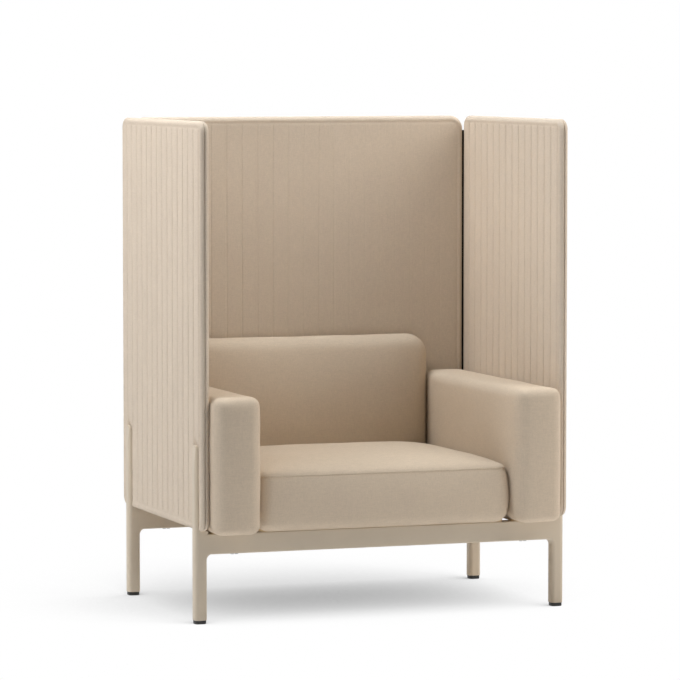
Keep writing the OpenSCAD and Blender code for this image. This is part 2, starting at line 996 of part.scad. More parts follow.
module cushion(hx, hy, r, profile, crown, draw, recess, taper) {
    rings = cushion_rings(hx, hy, r, profile, crown, draw, recess);
    top = profile[len(profile) - 1][1] + crown;
    ring_loft(
        [for (i = [0 : len(rings) - 1])
            [for (p = rings[i]) i < recess_rings ? p : tapered(p, hy, taper)]],
        [recess[0][0], recess[0][1], recess[3]],
        tapered([0, 0, top], hy, taper)
    );
}

board_recess_h = board_t + soft_gap;

module seat_cushion() {
    hy = (seat_rear - seat_front) / 2;
    mid = (seat_rear + seat_front) / 2;
    board_mid = (seat_board_front + seat_board_rear) / 2 - mid;
    board_half = [seat_half - board_edge + soft_gap, (seat_board_rear - seat_board_front) / 2 + soft_gap];
    color([0.74, 0.67, 0.58])
        translate([0, mid, cushion_foot])
            cushion(seat_half, hy, seat_corner,
                side_profile(seat_h, seat_edge, seat_edge, seat_edge_rise, seat_belly, true),
                seat_crown, seat_draw, [[0, board_mid], board_half, board_corner, board_recess_h], 0);
}

module arm_cushion() {
    mid = (arm_rear + arm_front) / 2;
    board_half = [arm_w / 2 - arm_board_inset + soft_gap, frame_d / 2 - fit_gap + soft_gap];
    translate([(arm_in + arm_out) / 2, mid, cushion_foot])
        cushion(arm_w / 2, arm_depth / 2, arm_corner,
            side_profile(arm_h, arm_edge, arm_edge, arm_edge, arm_belly, false),
            arm_crown, 0, [[0, -mid], board_half, board_corner, board_recess_h], 0);
}

module left_arm_cushion() {
    color([0.72, 0.65, 0.56])
        mirror([1, 0, 0])
            arm_cushion();
}

module right_arm_cushion() {
    color([0.72, 0.65, 0.56])
        arm_cushion();
}

// The back cushion is lofted from its rear face to its front, so its height runs along Y of the rings
module back_cushion() {
    board_mid = back_board_foot + back_board_h / 2 - cushion_foot - back_h / 2;
    color([0.70, 0.62, 0.53])
        translate([0, back_rear, cushion_foot + back_h / 2])
            rotate([90, 0, 0])
                cushion(back_cushion_half, back_h / 2, back_round,
                    side_profile(back_t - back_crown, back_edge / 2, back_edge, back_edge, back_belly, false),
                    back_crown, 0,
                    [[0, board_mid], [back_board_half + soft_gap, back_board_h / 2 + soft_gap], board_corner,
                        board_t + soft_gap],
                    back_taper_share);
}

place() front_rail();
place() rear_rail();
place() left_stretcher();
place() right_stretcher();
place() seat_cross_bar();
place() front_left_leg();
place() front_right_leg();
place() rear_left_leg();
place() rear_right_leg();
place() foot_inserts();
place() front_left_glide_pad();
place() front_right_glide_pad();
place() rear_left_glide_pad();
place() rear_right_glide_pad();
place() front_left_glide_stud();
place() front_right_glide_stud();
place() rear_left_glide_stud();
place() rear_right_glide_stud();
place() rail_screws();
place() left_panel_core();
place() right_panel_core();
place() back_panel_core();
place() left_panel_outer_cover();
place() left_panel_inner_cover();
place() right_panel_outer_cover();
place() right_panel_inner_cover();
place() back_panel_front_cover();
place() back_panel_rear_cover();
place() left_corner_strip();
place() right_corner_strip();
place() prong_screws();
place() left_back_bracket();
place() right_back_bracket();
place() bracket_rail_screws();
place() bracket_panel_screws();
place() seat_board();
place() left_arm_board();
place() right_arm_board();
place() back_board();
place() seat_board_screws();
place() arm_board_screws();
place() back_board_screws();
place() seat_cushion();
place() left_arm_cushion();
place() right_arm_cushion();
place() back_cushion();
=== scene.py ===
"""Looks of a high back lounge chair with quilted acoustic panels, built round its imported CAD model.

Every soft piece is a closed pad on a rounded rectangle: a grid over its face, rings down its side and
a closed foot. The panels get their sewn channels by formula, and the cushions swell as cloth under
pressure. The frame keeps its CAD solids, apart from the corner strips and the screws under the rails,
and its legs get small bosses under the side panels. All sizes are in metres, in the CAD's frame: the
origin on the floor under the middle, +Y to the back of the chair, +Z up.
"""

import logging
import math
from dataclasses import dataclass, field
from enum import Enum

import bpy
import numpy as np
from mathutils import Euler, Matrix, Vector


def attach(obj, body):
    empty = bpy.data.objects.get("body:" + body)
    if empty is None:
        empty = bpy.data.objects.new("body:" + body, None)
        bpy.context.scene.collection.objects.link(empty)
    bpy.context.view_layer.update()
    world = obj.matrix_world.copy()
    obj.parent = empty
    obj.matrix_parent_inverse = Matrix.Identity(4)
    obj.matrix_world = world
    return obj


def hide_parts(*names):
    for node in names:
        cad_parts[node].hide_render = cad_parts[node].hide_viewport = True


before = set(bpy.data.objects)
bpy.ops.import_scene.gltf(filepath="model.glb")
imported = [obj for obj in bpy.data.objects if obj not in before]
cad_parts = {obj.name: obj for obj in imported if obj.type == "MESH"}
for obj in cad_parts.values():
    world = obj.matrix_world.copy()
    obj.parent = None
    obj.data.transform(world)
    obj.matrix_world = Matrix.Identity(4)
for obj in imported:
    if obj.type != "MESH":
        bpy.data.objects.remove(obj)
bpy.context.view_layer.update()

Point = tuple[float, float, float]
Colour = tuple[float, float, float]
Axes = tuple[Point, Point, Point]
Socket = bpy.types.NodeSocket
Value = Socket | float

LOG = logging.getLogger("lounge_chair")
MM = 0.001
CHAIR = "chair"
FINISH_ENDING = "_finish"
SIDES = ((-1, "left"), (1, "right"))
UPRIGHT: Axes = ((1, 0, 0), (0, 1, 0), (0, 0, 1))
WHITE = (1.0, 1.0, 1.0, 1.0)
# The middle between the front and the rear legs lies this far behind the origin.
SHIFT_Y = 13.5 * MM
LEG_Y = 307.5 * MM
FRONT_LEG_Y, REAR_LEG_Y = SHIFT_Y - LEG_Y, SHIFT_Y + LEG_Y


# Meshes -----------------------------------------------------------------------------------------


@dataclass
class PadMesh:
    """Points and faces of a closed pad, in its own (u, v, w) frame: w points out of its face.

    Args:
        points: All vertices, one row each.
        quads: Vertex numbers of the four-sided faces.
        tris: Vertex numbers of the three-sided faces.
        face_shape: Rows and columns of the face grid, if any, whose vertices come first.
        inset: Distance of each vertex of the face grid from the pad's outline.
    """

    points: np.ndarray
    quads: np.ndarray
    tris: np.ndarray
    face_shape: tuple[int, int] = (0, 0)
    inset: np.ndarray | None = None

    @property
    def face(self) -> np.ndarray:
        """The face grid's vertices, as a view into points."""
        return self.points[: self.face_shape[0] * self.face_shape[1]]

    def placed(self, axes: Axes, origin: Point) -> "PadMesh":
        """Moves the pad into the chair's frame.

        Args:
            axes: Directions of u, v and w, one row each.
            origin: Place of the pad's own origin.

        Returns:
            The same pad with its points in the chair's frame and its faces pointing outwards.
        """
        turn = np.asarray(axes, float)
        points = self.points @ turn + np.asarray(origin, float)
        turned = np.linalg.det(turn) < 0
        quads = self.quads[:, ::-1] if turned else self.quads
        tris = self.tris[:, ::-1] if turned else self.tris
        return PadMesh(points, quads, tris, self.face_shape, self.inset)


def arc_rim(radius: float, height: float, steps: int, start: float = 0.0) -> np.ndarray:
    """Insets and heights of a quarter round from the outline in to the face.

    At the angle a the inset is radius * (1 - cos a) and the height is height * sin a.

    Args:
        radius: Width of the round.
        height: Height of the round.
        steps: Number of steps.
        start: Angle of the first step, in degrees.

    Returns:
        One row of inset and height for each step.
    """
    a = np.radians(np.linspace(start, 90.0, steps + 1))
    return np.stack([radius * (1 - np.cos(a)), height * np.sin(a)], axis=1)


def even_steps(low: float, high: float, pitch: float) -> np.ndarray:
    """Evenly spaced values from low to high, about pitch apart."""
    return np.linspace(low, high, max(2, int(round((high - low) / pitch)) + 1))


def ring_grid(
    half_u: float,
    half_v: float,
    corner: float,
    insets: np.ndarray,
    inner_u: np.ndarray,
    inner_v: np.ndarray,
) -> tuple[np.ndarray, np.ndarray, np.ndarray]:
    """Grid on a rounded rectangle whose outer rows are offsets of its outline.

    Border row k lies at insets[k]. Its corners are arcs of radius corner - insets[k] round the
    corner's centre, shared out evenly: half of the arc belongs to the columns, half to the rows.

    Args:
        half_u: Half width of the outline.
        half_v: Half height of the outline.
        corner: Corner radius of the outline, which is also the last inset.
        insets: Insets of the border rows, from the outermost to the corner's centre.
        inner_u: Columns between the centres of the corners, those two included.
        inner_v: Rows between the centres of the corners, those two included.

    Returns:
        The places u and v and the distance from the outline, each with rows and columns.
    """
    last = len(insets) - 1
    count_u, count_v = len(inner_u) + 2 * last, len(inner_v) + 2 * last
    i, j = np.arange(count_u), np.arange(count_v)
    depth_i = np.minimum(np.minimum(i, count_u - 1 - i), last)
    depth_j = np.minimum(np.minimum(j, count_v - 1 - j), last)
    side_i = np.where(i < last, -1.0, 1.0)
    side_j = np.where(j < last, -1.0, 1.0)
    line_u = side_i * (half_u - insets[depth_i])
    line_v = side_j * (half_v - insets[depth_j])
    line_u[last : count_u - last] = inner_u
    line_v[last : count_v - last] = inner_v
    u, v = np.meshgrid(line_u, line_v)
    a, b = np.meshgrid(depth_i, depth_j)
    su, sv = np.meshgrid(side_i, side_j)
    ring = np.minimum(a, b)
    in_corner = (a < last) & (b < last)
    share = (last - np.maximum(a, b)) / np.maximum(last - ring, 1)
    angle = np.where(a <= b, 45.0 * share, 90.0 - 45.0 * share)
    radius = corner - insets[ring]
    u = np.where(in_corner, su * (half_u - corner + radius * np.cos(np.radians(angle))), u)
    v = np.where(in_corner, sv * (half_v - corner + radius * np.sin(np.radians(angle))), v)
    inside = np.minimum(half_u - np.abs(u), half_v - np.abs(v))
    return u, v, np.where(ring < last, insets[ring], inside)


def border_loop(rows: int, columns: int) -> np.ndarray:
    """Vertex numbers round the border of a grid, counterclockwise seen from its face."""
    number = np.arange(rows * columns).reshape(rows, columns)
    return np.concatenate([number[0, :-1], number[:-1, -1], number[-1, :0:-1], number[:0:-1, 0]])


def grid_quads(rows: int, columns: int) -> np.ndarray:
    """Faces of a grid, counterclockwise seen from its face."""
    n = np.arange(rows * columns).reshape(rows, columns)
    return np.stack([n[:-1, :-1], n[:-1, 1:], n[1:, 1:], n[1:, :-1]], axis=-1).reshape(-1, 4)


def ring_quads(upper: np.ndarray, lower: np.ndarray) -> np.ndarray:
    """Faces between two loops that run counterclockwise, the lower one below."""
    return np.stack([lower, np.roll(lower, -1), np.roll(upper, -1), upper], axis=-1)


def pad_mesh(
    half: tuple[float, float],
    corner: float,
    face_rim: np.ndarray,
    side: np.ndarray,
    foot_rim: np.ndarray | None,
    inner_u: np.ndarray,
    inner_v: np.ndarray,
) -> PadMesh:
    """Builds a closed pad from a face grid, side rings and a foot.

    Args:
        half: Half width and half height of the outline.
        corner: Corner radius of the outline.
        face_rim: Inset and height of each border row of the face, from its outline to the
            corner's centre.
        side: Inset and height of each ring between face and foot, downwards.
        foot_rim: The same as face_rim for the foot, or None to close the last ring with a fan.
        inner_u: Inner columns, from corner centre to corner centre.
        inner_v: Inner rows, from corner centre to corner centre.

    Returns:
        The closed pad.
    """
    u, v, inset = ring_grid(*half, corner, face_rim[:, 0], inner_u, inner_v)
    w = np.interp(inset, face_rim[:, 0], face_rim[:, 1])
    rows, columns = u.shape
    face = np.stack([u, v, w], axis=-1).reshape(-1, 3)
    loop = border_loop(rows, columns)
    room = np.array(half) - corner
    core = np.clip(face[loop, :2], -room, room)
    out = face[loop, :2] - core
    out /= np.linalg.norm(out, axis=1, keepdims=True)
    parts, quads, upper = [face], [grid_quads(rows, columns)], loop
    total = len(face)
    for ring_inset, height in side:
        places = core + out * (corner - ring_inset)
        parts.append(np.column_stack([places, np.full(len(loop), height)]))
        lower = total + np.arange(len(loop))
        quads.append(ring_quads(upper, lower))
        upper, total = lower, total + len(loop)
    if foot_rim is None:
        parts.append(np.array([[0.0, 0.0, side[-1][1]]]))
        tris = np.stack([np.roll(upper, -1), upper, np.full(len(upper), total)], axis=-1)
    else:
        fu, fv, finset = ring_grid(*half, corner, foot_rim[:, 0], inner_u, inner_v)
        fw = np.interp(finset, foot_rim[:, 0], foot_rim[:, 1])
        parts.append(np.stack([fu, fv, fw], axis=-1).reshape(-1, 3))
        quads.append(ring_quads(upper, total + loop))
        quads.append(total + grid_quads(rows, columns)[:, ::-1])
        tris = np.zeros((0, 3), int)
    return PadMesh(np.concatenate(parts), np.concatenate(quads), tris, (rows, columns), inset)


def rounded_bar(
    half: tuple[float, float], corner: float, edge: float, low: float, high: float, pitch: float = 8 * MM
) -> PadMesh:
    """Builds an upright bar on a rounded rectangle, with quarter rounds at both ends.

    Args:
        half: Half width and half depth of the outline.
        corner: Corner radius of the outline.
        edge: Radius of the rounds, less than corner.
        low: Height of the lower end.
        high: Height of the upper end.
        pitch: Distance between two points on its ends.

    Returns:
        The closed bar.
    """
    rim = np.concatenate([arc_rim(edge, edge, 3), [[corner, edge]]])
    heights = even_steps(low + edge, high - edge, 60 * MM)[-2:0:-1]
    inner_u, inner_v = (even_steps(corner - size, size - corner, pitch) for size in half)
    face_rim, foot_rim = rim + (0, high - edge), rim * (1, -1) + (0, low + edge)
    side = np.column_stack([np.zeros(len(heights)), heights])
    return pad_mesh(half, corner, face_rim, side, foot_rim, inner_u, inner_v)


def turned_set(profile: np.ndarray, places: np.ndarray, steps: int = 24) -> PadMesh:
    """Turns one profile round an upright axis at each place.

    A point of the profile at the angle a lies at (r cos a, r sin a, h). The first and the last point
    lie on the axis and close the piece.

    Args:
        profile: Radius and height of each point, from the lower pole round to the upper one.
        places: Middle of each turned piece, one row each.
        steps: Number of points round the axis.

    Returns:
        All pieces in one mesh.
    """
    a = np.linspace(0.0, 2 * math.pi, steps, endpoint=False)
    r, h = profile[1:-1, 0, None], profile[1:-1, 1, None]
    rings = np.stack([r * np.cos(a), r * np.sin(a), h + 0 * a], axis=-1).reshape(-1, 3)
    one = np.concatenate([rings, [[0, 0, profile[0, 1]], [0, 0, profile[-1, 1]]]])
    loops = np.arange(len(rings)).reshape(-1, steps)
    quads = np.concatenate([ring_quads(upper, lower) for lower, upper in zip(loops[:-1], loops[1:])])
    low_pole, high_pole = np.full(steps, len(rings)), np.full(steps, len(rings) + 1)
    first, last = loops[0], loops[-1]
    lower_fan = np.stack([low_pole, np.roll(first, -1), first], axis=-1)
    upper_fan = np.stack([high_pole, last, np.roll(last, -1)], axis=-1)
    tris = np.concatenate([lower_fan, upper_fan])
    step = (np.arange(len(places)) * len(one))[:, None, None]
    points = (one[None] + places[:, None]).reshape(-1, 3)
    return PadMesh(points, (quads + step).reshape(-1, 4), (tris + step).reshape(-1, 3))


def prism(outline: np.ndarray, low: float, high: float) -> PadMesh:
    """Builds an upright prism.

    Args:
        outline: Corners of its convex outline, counterclockwise, one row each.
        low: Height of its foot.
        high: Height of its face.

    Returns:
        The closed prism.
    """
    count = len(outline)
    points = np.concatenate([np.column_stack([outline, np.full(count, w)]) for w in (low, high)])
    lower, fan, zero = np.arange(count), np.arange(1, count - 1), np.zeros(count - 2, int)
    foot = np.stack([zero, fan + 1, fan], axis=-1)
    face = np.stack([zero, fan, fan + 1], axis=-1) + count
    return PadMesh(points, ring_quads(lower + count, lower), np.concatenate([foot, face]))


def new_piece(name: str, pad: PadMesh, smooth: bool = True) -> bpy.types.Object:
    """Makes a Blender object from a pad's arrays.

    Args:
        name: Name of the piece.
        pad: The pad, in the chair's frame.
        smooth: Whether its faces are shaded smoothly.

    Returns:
        The object, at the origin, with its place in its mesh.
    """
    mesh = bpy.data.meshes.new(name)
    sizes = np.concatenate([np.full(len(pad.quads), 4), np.full(len(pad.tris), 3)])
    corners = np.concatenate([pad.quads.ravel(), pad.tris.ravel()])
    mesh.vertices.add(len(pad.points))
    mesh.vertices.foreach_set("co", pad.points.astype(np.float32).ravel())
    mesh.loops.add(len(corners))
    mesh.loops.foreach_set("vertex_index", corners.astype(np.int32))
    mesh.polygons.add(len(sizes))
    mesh.polygons.foreach_set("loop_start", (np.cumsum(sizes) - sizes).astype(np.int32))
    mesh.polygons.foreach_set("use_smooth", np.full(len(sizes), smooth))
    mesh.update(calc_edges=True)
    mesh.validate()
    piece = bpy.data.objects.new(name, mesh)
    bpy.context.scene.collection.objects.link(piece)
    return piece


def mesh_points(mesh: bpy.types.Mesh) -> np.ndarray:
    """The vertices of a mesh as an array.

    Args:
        mesh: The mesh.

    Returns:
        One row for each vertex.
    """
    points = np.empty(len(mesh.vertices) * 3, np.float32)
    mesh.vertices.foreach_get("co", points)
    return points.reshape(-1, 3).astype(float)


def set_points(mesh: bpy.types.Mesh, points: np.ndarray) -> None:
    """Writes an array of vertices into a mesh."""
    mesh.vertices.foreach_set("co", points.astype(np.float32).ravel())
    mesh.update()


def apply_modifiers(piece: bpy.types.Object) -> None:
    """Bakes a piece's modifiers into its mesh.

    Args:
        piece: The piece.
    """
    graph = bpy.context.evaluated_depsgraph_get()
    baked = bpy.data.meshes.new_from_object(piece.evaluated_get(graph))
    piece.modifiers.clear()
    old, piece.data = piece.data, baked
    baked.name = piece.name
    bpy.data.meshes.remove(old)


def soft_noise(points: np.ndarray, size: float, seed: int, waves: int = 10) -> np.ndarray:
    """Smooth noise between about -1 and 1: a sum of sine waves in seeded directions.

    Args:
        points: Places, one row each.
        size: Length of the shortest wave.
        seed: Seed of the directions and phases.
        waves: Number of waves, whose lengths run from size to three times size.

    Returns:
        One value for each place.
    """
    chance = np.random.default_rng(seed)
    way = chance.normal(size=(waves, points.shape[1]))
    way /= np.linalg.norm(way, axis=1, keepdims=True)
    length = size * np.linspace(1.0, 3.0, waves)
    phase = chance.uniform(0.0, 2 * math.pi, waves)
    return np.sin(points @ (way / length[:, None] * 2 * math.pi).T + phase).sum(axis=1) / math.sqrt(2 * waves)


def smooth_step(value: np.ndarray) -> np.ndarray:
    """Eases from 0 to 1 as value goes from 0 to 1."""
    t = np.clip(value, 0.0, 1.0)
    return t * t * (3 - 2 * t)


def evened(mesh: bpy.types.Mesh, values: np.ndarray, rounds: int) -> np.ndarray:
    """Evens out values at a mesh's vertices: each round moves them half way to their neighbours' mean.

    Args:
        mesh: The mesh.
        values: One row for each vertex.
        rounds: Number of rounds.

    Returns:
        The evened values.
    """
    ends = np.empty(len(mesh.edges) * 2, np.int32)
    mesh.edges.foreach_get("vertices", ends)
    first, second = ends.reshape(-1, 2).T
    count = np.bincount(ends, minlength=len(values))[:, None]
    for _ in range(rounds):
        total = np.zeros_like(values)
        np.add.at(total, first, values[second])
        np.add.at(total, second, values[first])
        values = 0.5 * values + 0.5 * total / np.maximum(count, 1)
    return values


@dataclass(frozen=True)
class StuffedCover:
    """How a closed pad swells like a stuffed cover: as cloth under pressure, without gravity.

    Args:
        quality: Steps of the solver in one frame.
        mass: Mass of one point of the cloth.
        stretch: Stiffness against stretching and against pressing together.
        shear: Stiffness against shear.
        bend: Stiffness against bending.
        frames: Number of frames that the cloth runs.
        rounds: Rounds in which the movement is evened out afterwards.
    """

    quality: int = 4
    mass: float = 0.3
    stretch: float = 20.0
    shear: float = 10.0
    bend: float = 2.0
    frames: int = 20
    rounds: int = 24

    def add_cloth(self, piece: bpy.types.Object, pressure: float) -> None:
        """Puts the cloth on a piece.

        Args:
            piece: The piece.
            pressure: Force of the air inside.
        """
        cloth = piece.modifiers.new("Cloth", "CLOTH")
        cloth.settings.quality = self.quality
        cloth.settings.mass = self.mass
        cloth.settings.tension_stiffness = self.stretch
        cloth.settings.compression_stiffness = self.stretch
        cloth.settings.shear_stiffness = self.shear
        cloth.settings.bending_stiffness = self.bend
        cloth.settings.use_pressure = True
        cloth.settings.uniform_pressure_force = pressure
        cloth.settings.effector_weights.gravity = 0
        cloth.point_cache.frame_start = 1
        cloth.point_cache.frame_end = self.frames

    def swell(self, piece: bpy.types.Object, pressure: float, cap: float) -> None:
        """Lets a pad swell. A copy of it carries the cloth, so that none is left on the piece.

        Args:
            piece: The pad, slightly smaller than it should end up.
            pressure: Force of the air inside.
            cap: The furthest that a point may move.
        """
        scene = bpy.context.scene
        work = piece.copy()
        work.data = piece.data.copy()
        scene.collection.objects.link(work)
        self.add_cloth(work, pressure)
        for number in range(1, self.frames + 1):
            scene.frame_set(number)
        swollen = work.evaluated_get(bpy.context.evaluated_depsgraph_get()).to_mesh()
        start = mesh_points(piece.data)
        move = mesh_points(swollen) - start
        length = np.linalg.norm(move, axis=1, keepdims=True)
        move *= np.minimum(1.0, cap / np.maximum(length, 1e-9))
        move = evened(piece.data, move, self.rounds)
        free = length.mean() / MM, length.max() / MM
        LOG.info("%s swells by %.1f mm on average and %.1f mm at most, before the cap", piece.name, *free)
        bpy.data.objects.remove(work)
        scene.frame_set(1)
        set_points(piece.data, start + move)


# Finishes ---------------------------------------------------------------------------------------


class Nodes:
    """Short calls for building the node tree of a material or of the world."""

    def __init__(self, owner: bpy.types.Material | bpy.types.World) -> None:
        """Empties a node tree and starts it with its output.

        Args:
            owner: The material or the world that the tree belongs to.
        """
        owner.use_nodes = True
        self.owner, self.tree = owner, owner.node_tree
        self.tree.nodes.clear()
        kind = "World" if isinstance(owner, bpy.types.World) else "Material"
        self.output = self.tree.nodes.new("ShaderNodeOutput" + kind)

    @classmethod
    def of_material(cls, name: str) -> "Nodes":
        """Starts a new material, whose name gets the ending that tells it from the CAD's own."""
        return cls(bpy.data.materials.new(name + FINISH_ENDING))

    def add(self, kind: str, inputs: dict | None = None, **settings: object) -> bpy.types.Node:
        """Adds a node.

        Args:
            kind: The node's type, without the ShaderNode in front.
            inputs: A value or a socket to link for each input, by its name or number.
            **settings: The node's own settings.

        Returns:
            The node.
        """
        node = self.tree.nodes.new("ShaderNode" + kind)
        for key, value in settings.items():
            setattr(node, key, value)
        for key, value in (inputs or {}).items():
            if isinstance(value, bpy.types.NodeSocket):
                self.tree.links.new(value, node.inputs[key])
            else:
                node.inputs[key].default_value = value
        return node

    def math(self, operation: str, a: Value, b: Value = 0.0, c: Value = 0.0) -> Socket:
        """Adds a math node and returns its result."""
        return self.add("Math", {0: a, 1: b, 2: c}, operation=operation).outputs[0]

    def vector(self, operation: str, a: Socket, b: Socket | Point = (0.0, 0.0, 0.0)) -> Socket:
        """Adds a vector math node and returns its vector."""
        return self.add("VectorMath", {0: a, 1: b}, operation=operation).outputs[0]

    def place(self) -> Socket:
        """Returns the object coordinates."""
        return self.add("TexCoord").outputs["Object"]

    def noise(self, place: Socket, scale: float, detail: float = 2.0, rough: float = 0.5) -> Socket:
        """Adds a noise texture and returns its value."""
        inputs = {"Vector": place, "Scale": scale, "Detail": detail, "Roughness": rough}
        return self.add("TexNoise", inputs).outputs[0]

    def swayed(self, place: Socket, scale: float, detail: float, by: float) -> Socket:
        """Adds a noise in all three directions to a place, by metres strong."""
        sway = self.add("TexNoise", {"Vector": place, "Scale": scale, "Detail": detail}).outputs[1]
        return self.vector("ADD", place, self.vector("MULTIPLY", sway, (by, by, by)))

    def ramp(self, noise: Socket, low: float, high: float) -> Socket:
        """Maps a noise, which lies mostly between 0.3 and 0.7, to a range, clamped."""
        return self.add("MapRange", {0: noise, 1: 0.3, 2: 0.7, 3: low, 4: high}).outputs[0]

    def tint(self, factor: Socket, colour: Colour, dark: float, light: float) -> Socket:
        """Mixes a darker and a lighter shade of a colour, given as shares of it, by a factor."""
        shades = {6: (*scaled(colour, dark), 1.0), 7: (*scaled(colour, light), 1.0)}
        return self.add("Mix", {0: factor, **shades}, data_type="RGBA").outputs[2]

    def bump(self, height: Socket, depth: float, strength: float, under: Socket | None = None) -> Socket:
        """Adds a bump node.

        Args:
            height: Height of the relief, from 0 to 1.
            depth: Depth of the relief in metres.
            strength: Share of it that shows.
            under: Normal of another bump node that this one lies on, if any.

        Returns:
            Its normal.
        """
        inputs = {"Height": height, "Distance": depth, "Strength": strength}
        if under is not None:
            inputs["Normal"] = under
        return self.add("Bump", inputs).outputs[0]

    def finish(self, shader: bpy.types.Node) -> bpy.types.Material | bpy.types.World:
        """Links a shader to the output and returns the tree's owner."""
        self.tree.links.new(shader.outputs[0], self.output.inputs[0])
        return self.owner

    def surface(self, colour: Socket, rough: Socket, normal: Socket, more: dict) -> bpy.types.Material:
        """Adds the shader of a surface and returns the finished material.

        Args:
            colour: Its colour.
            rough: Its roughness.
            normal: Its normal.
            more: Values of further inputs, by their names.

        Returns:
            The material.
        """
        inputs = {"Base Color": colour, "Roughness": rough, "Normal": normal, **more}
        return self.finish(self.add("BsdfPrincipled", inputs))


def linear(red: int, green: int, blue: int) -> Colour:
    """Turns a screen colour of 0 to 255 into the linear colour that a shader takes."""
    value = np.array([red, green, blue]) / 255.0
    return tuple(np.where(value <= 0.04045, value / 12.92, ((value + 0.055) / 1.055) ** 2.4).tolist())


def scaled(colour: Colour, by: float) -> Colour:
    """A colour made darker or lighter."""
    return tuple(min(1.0, c * by) for c in colour)


@dataclass(frozen=True)
class WovenWool:
    """Felted woven wool: crossing threads, slubs, a mottled colour and a soft sheen.

    The weave is the sum of the products of sine waves along two axes each, on a place that sways a
    little. The colour goes from 0.8 to 1.2 times the mean with patches, fine noise, slubs and weave.

    Args:
        name: Name of the material.
        colour: Mean colour, linear.
        thread: Distance between two threads, in metres.
        relief: Depth of the weave, in metres.
        slub_relief: Depth of the slubs, in metres.
        drift: How far the threads sway, in metres.
        mottle: How much the colour varies, as a share.
        slub: How much the thick threads show, as a share.
        slubs: Slubs per metre along each axis, for the level threads and for the upright ones.
        sheen: Weight of the sheen.
    """

    name: str
    colour: Colour
    thread: float = 1.5 * MM
    relief: float = 0.12 * MM
    slub_relief: float = 0.25 * MM
    drift: float = 0.8 * MM
    mottle: float = 0.05
    slub: float = 0.05
    slubs: tuple[Point, Point] = ((55.0, 55.0, 420.0), (420.0, 420.0, 50.0))
    sheen: float = 0.25

    def make(self) -> bpy.types.Material:
        """Builds the material."""
        n = Nodes.of_material(self.name)
        place = n.place()
        bent = n.swayed(place, 60.0, 1.0, self.drift)
        turns = 2 * math.pi / self.thread
        waves = n.vector("SINE", n.vector("MULTIPLY", bent, (turns, turns, turns)))
        wave = n.add("SeparateXYZ", {0: waves}).outputs
        cross = n.math("MULTIPLY", wave[0], wave[2])
        cross = n.math("MULTIPLY_ADD", wave[1], wave[2], cross)
        cross = n.math("MULTIPLY_ADD", wave[0], wave[1], cross)
        fibre = n.noise(place, 900.0, 3.0, 0.7)
        height = n.math("MULTIPLY_ADD", fibre, 0.9, cross)
        level, upright = (n.noise(n.vector("MULTIPLY", place, way), 1.0, 3.0, 0.6) for way in self.slubs)
        threads = n.math("ADD", level, upright)
        patch = n.noise(place, 18.0, 4.0, 0.65)
        fine = n.noise(place, 260.0, 3.0, 0.7)
        share = 0.5
        parts = ((patch, 0.5, 3 * self.mottle), (fine, 0.5, 10 * self.mottle), (threads, 1.0, 8 * self.slub))
        for value, mean, weight in parts:
            share = n.math("MULTIPLY_ADD", n.math("SUBTRACT", value, mean), weight, share)
        share = n.math("MULTIPLY_ADD", cross, 0.08, share)
        colour = n.tint(share, self.colour, 0.8, 1.2)
        normal = n.bump(height, self.relief, 0.6)
        normal = n.bump(threads, self.slub_relief, 0.35, normal)
        more = {
            "Specular IOR Level": 0.15,
            "Sheen Weight": self.sheen,
            "Sheen Roughness": 0.45,
            "Sheen Tint": (1.0, 0.95, 0.88, 1.0),
        }
        return n.surface(colour, n.ramp(fine, 0.88, 1.0), normal, more)


@dataclass(frozen=True)
class PowderCoat:
    """Satin powder coat with a very fine grain.

    Args:
        name: Name of the material.
        colour: Colour of the coat, linear.
        rough: Mean roughness.
        grain: Depth of the grain, in metres.
    """

    name: str
    colour: Colour
    rough: float = 0.48
    grain: float = 0.03 * MM

    def make(self) -> bpy.types.Material:
        """Builds the material."""
        n = Nodes.of_material(self.name)
        place = n.place()
        grain = n.noise(place, 1400.0, 2.0, 0.6)
        cloud = n.noise(place, 9.0, 3.0, 0.5)
        fine = n.noise(place, 500.0, 2.0, 0.6)
        share = n.math("MULTIPLY_ADD", n.math("SUBTRACT", fine, 0.5), 0.6, cloud)
        colour = n.tint(share, self.colour, 0.95, 1.04)
        rough = n.ramp(cloud, self.rough - 0.05, self.rough + 0.06)
        return n.surface(colour, rough, n.bump(grain, self.grain, 0.5), {"Specular IOR Level": 0.4})


@dataclass(frozen=True)
class MouldedPlastic:
    """Matt moulded plastic with a fine spark texture.

    Args:
        name: Name of the material.
        colour: Colour, linear.
        rough: Roughness.
        gloss: Level of the reflection.
    """

    name: str
    colour: Colour
    rough: float = 0.55
    gloss: float = 0.5

    def make(self) -> bpy.types.Material:
        """Builds the material."""
        n = Nodes.of_material(self.name)
        place = n.place()
        spark = n.noise(place, 1100.0, 3.0, 0.7)
        wear = n.noise(place, 120.0, 2.0, 0.5)
        colour = n.tint(wear, self.colour, 0.8, 1.3)
        rough = n.ramp(spark, self.rough - 0.08, self.rough + 0.08)
        return n.surface(colour, rough, n.bump(spark, 0.04 * MM, 0.5), {"Specular IOR Level": self.gloss})


@dataclass(frozen=True)
class PlatedMetal:
    """Turned or plated metal with fine rings and small marks.

    Args:
        name: Name of the material.
        colour: Colour, linear.
        rough: Roughness.
    """

    name: str
    colour: Colour
    rough: float = 0.32

    def make(self) -> bpy.types.Material:
        """Builds the material."""
        n = Nodes.of_material(self.name)
        place = n.place()
        rings = n.noise(n.vector("MULTIPLY", place, (60.0, 60.0, 2600.0)), 1.0, 2.0)
        marks = n.noise(place, 300.0, 3.0, 0.6)
        colour = n.tint(marks, self.colour, 0.85, 1.08)
        rough = n.ramp(marks, self.rough - 0.06, self.rough + 0.12)
        return n.surface(colour, rough, n.bump(rings, 0.03 * MM, 0.4), {"Metallic": 1.0})


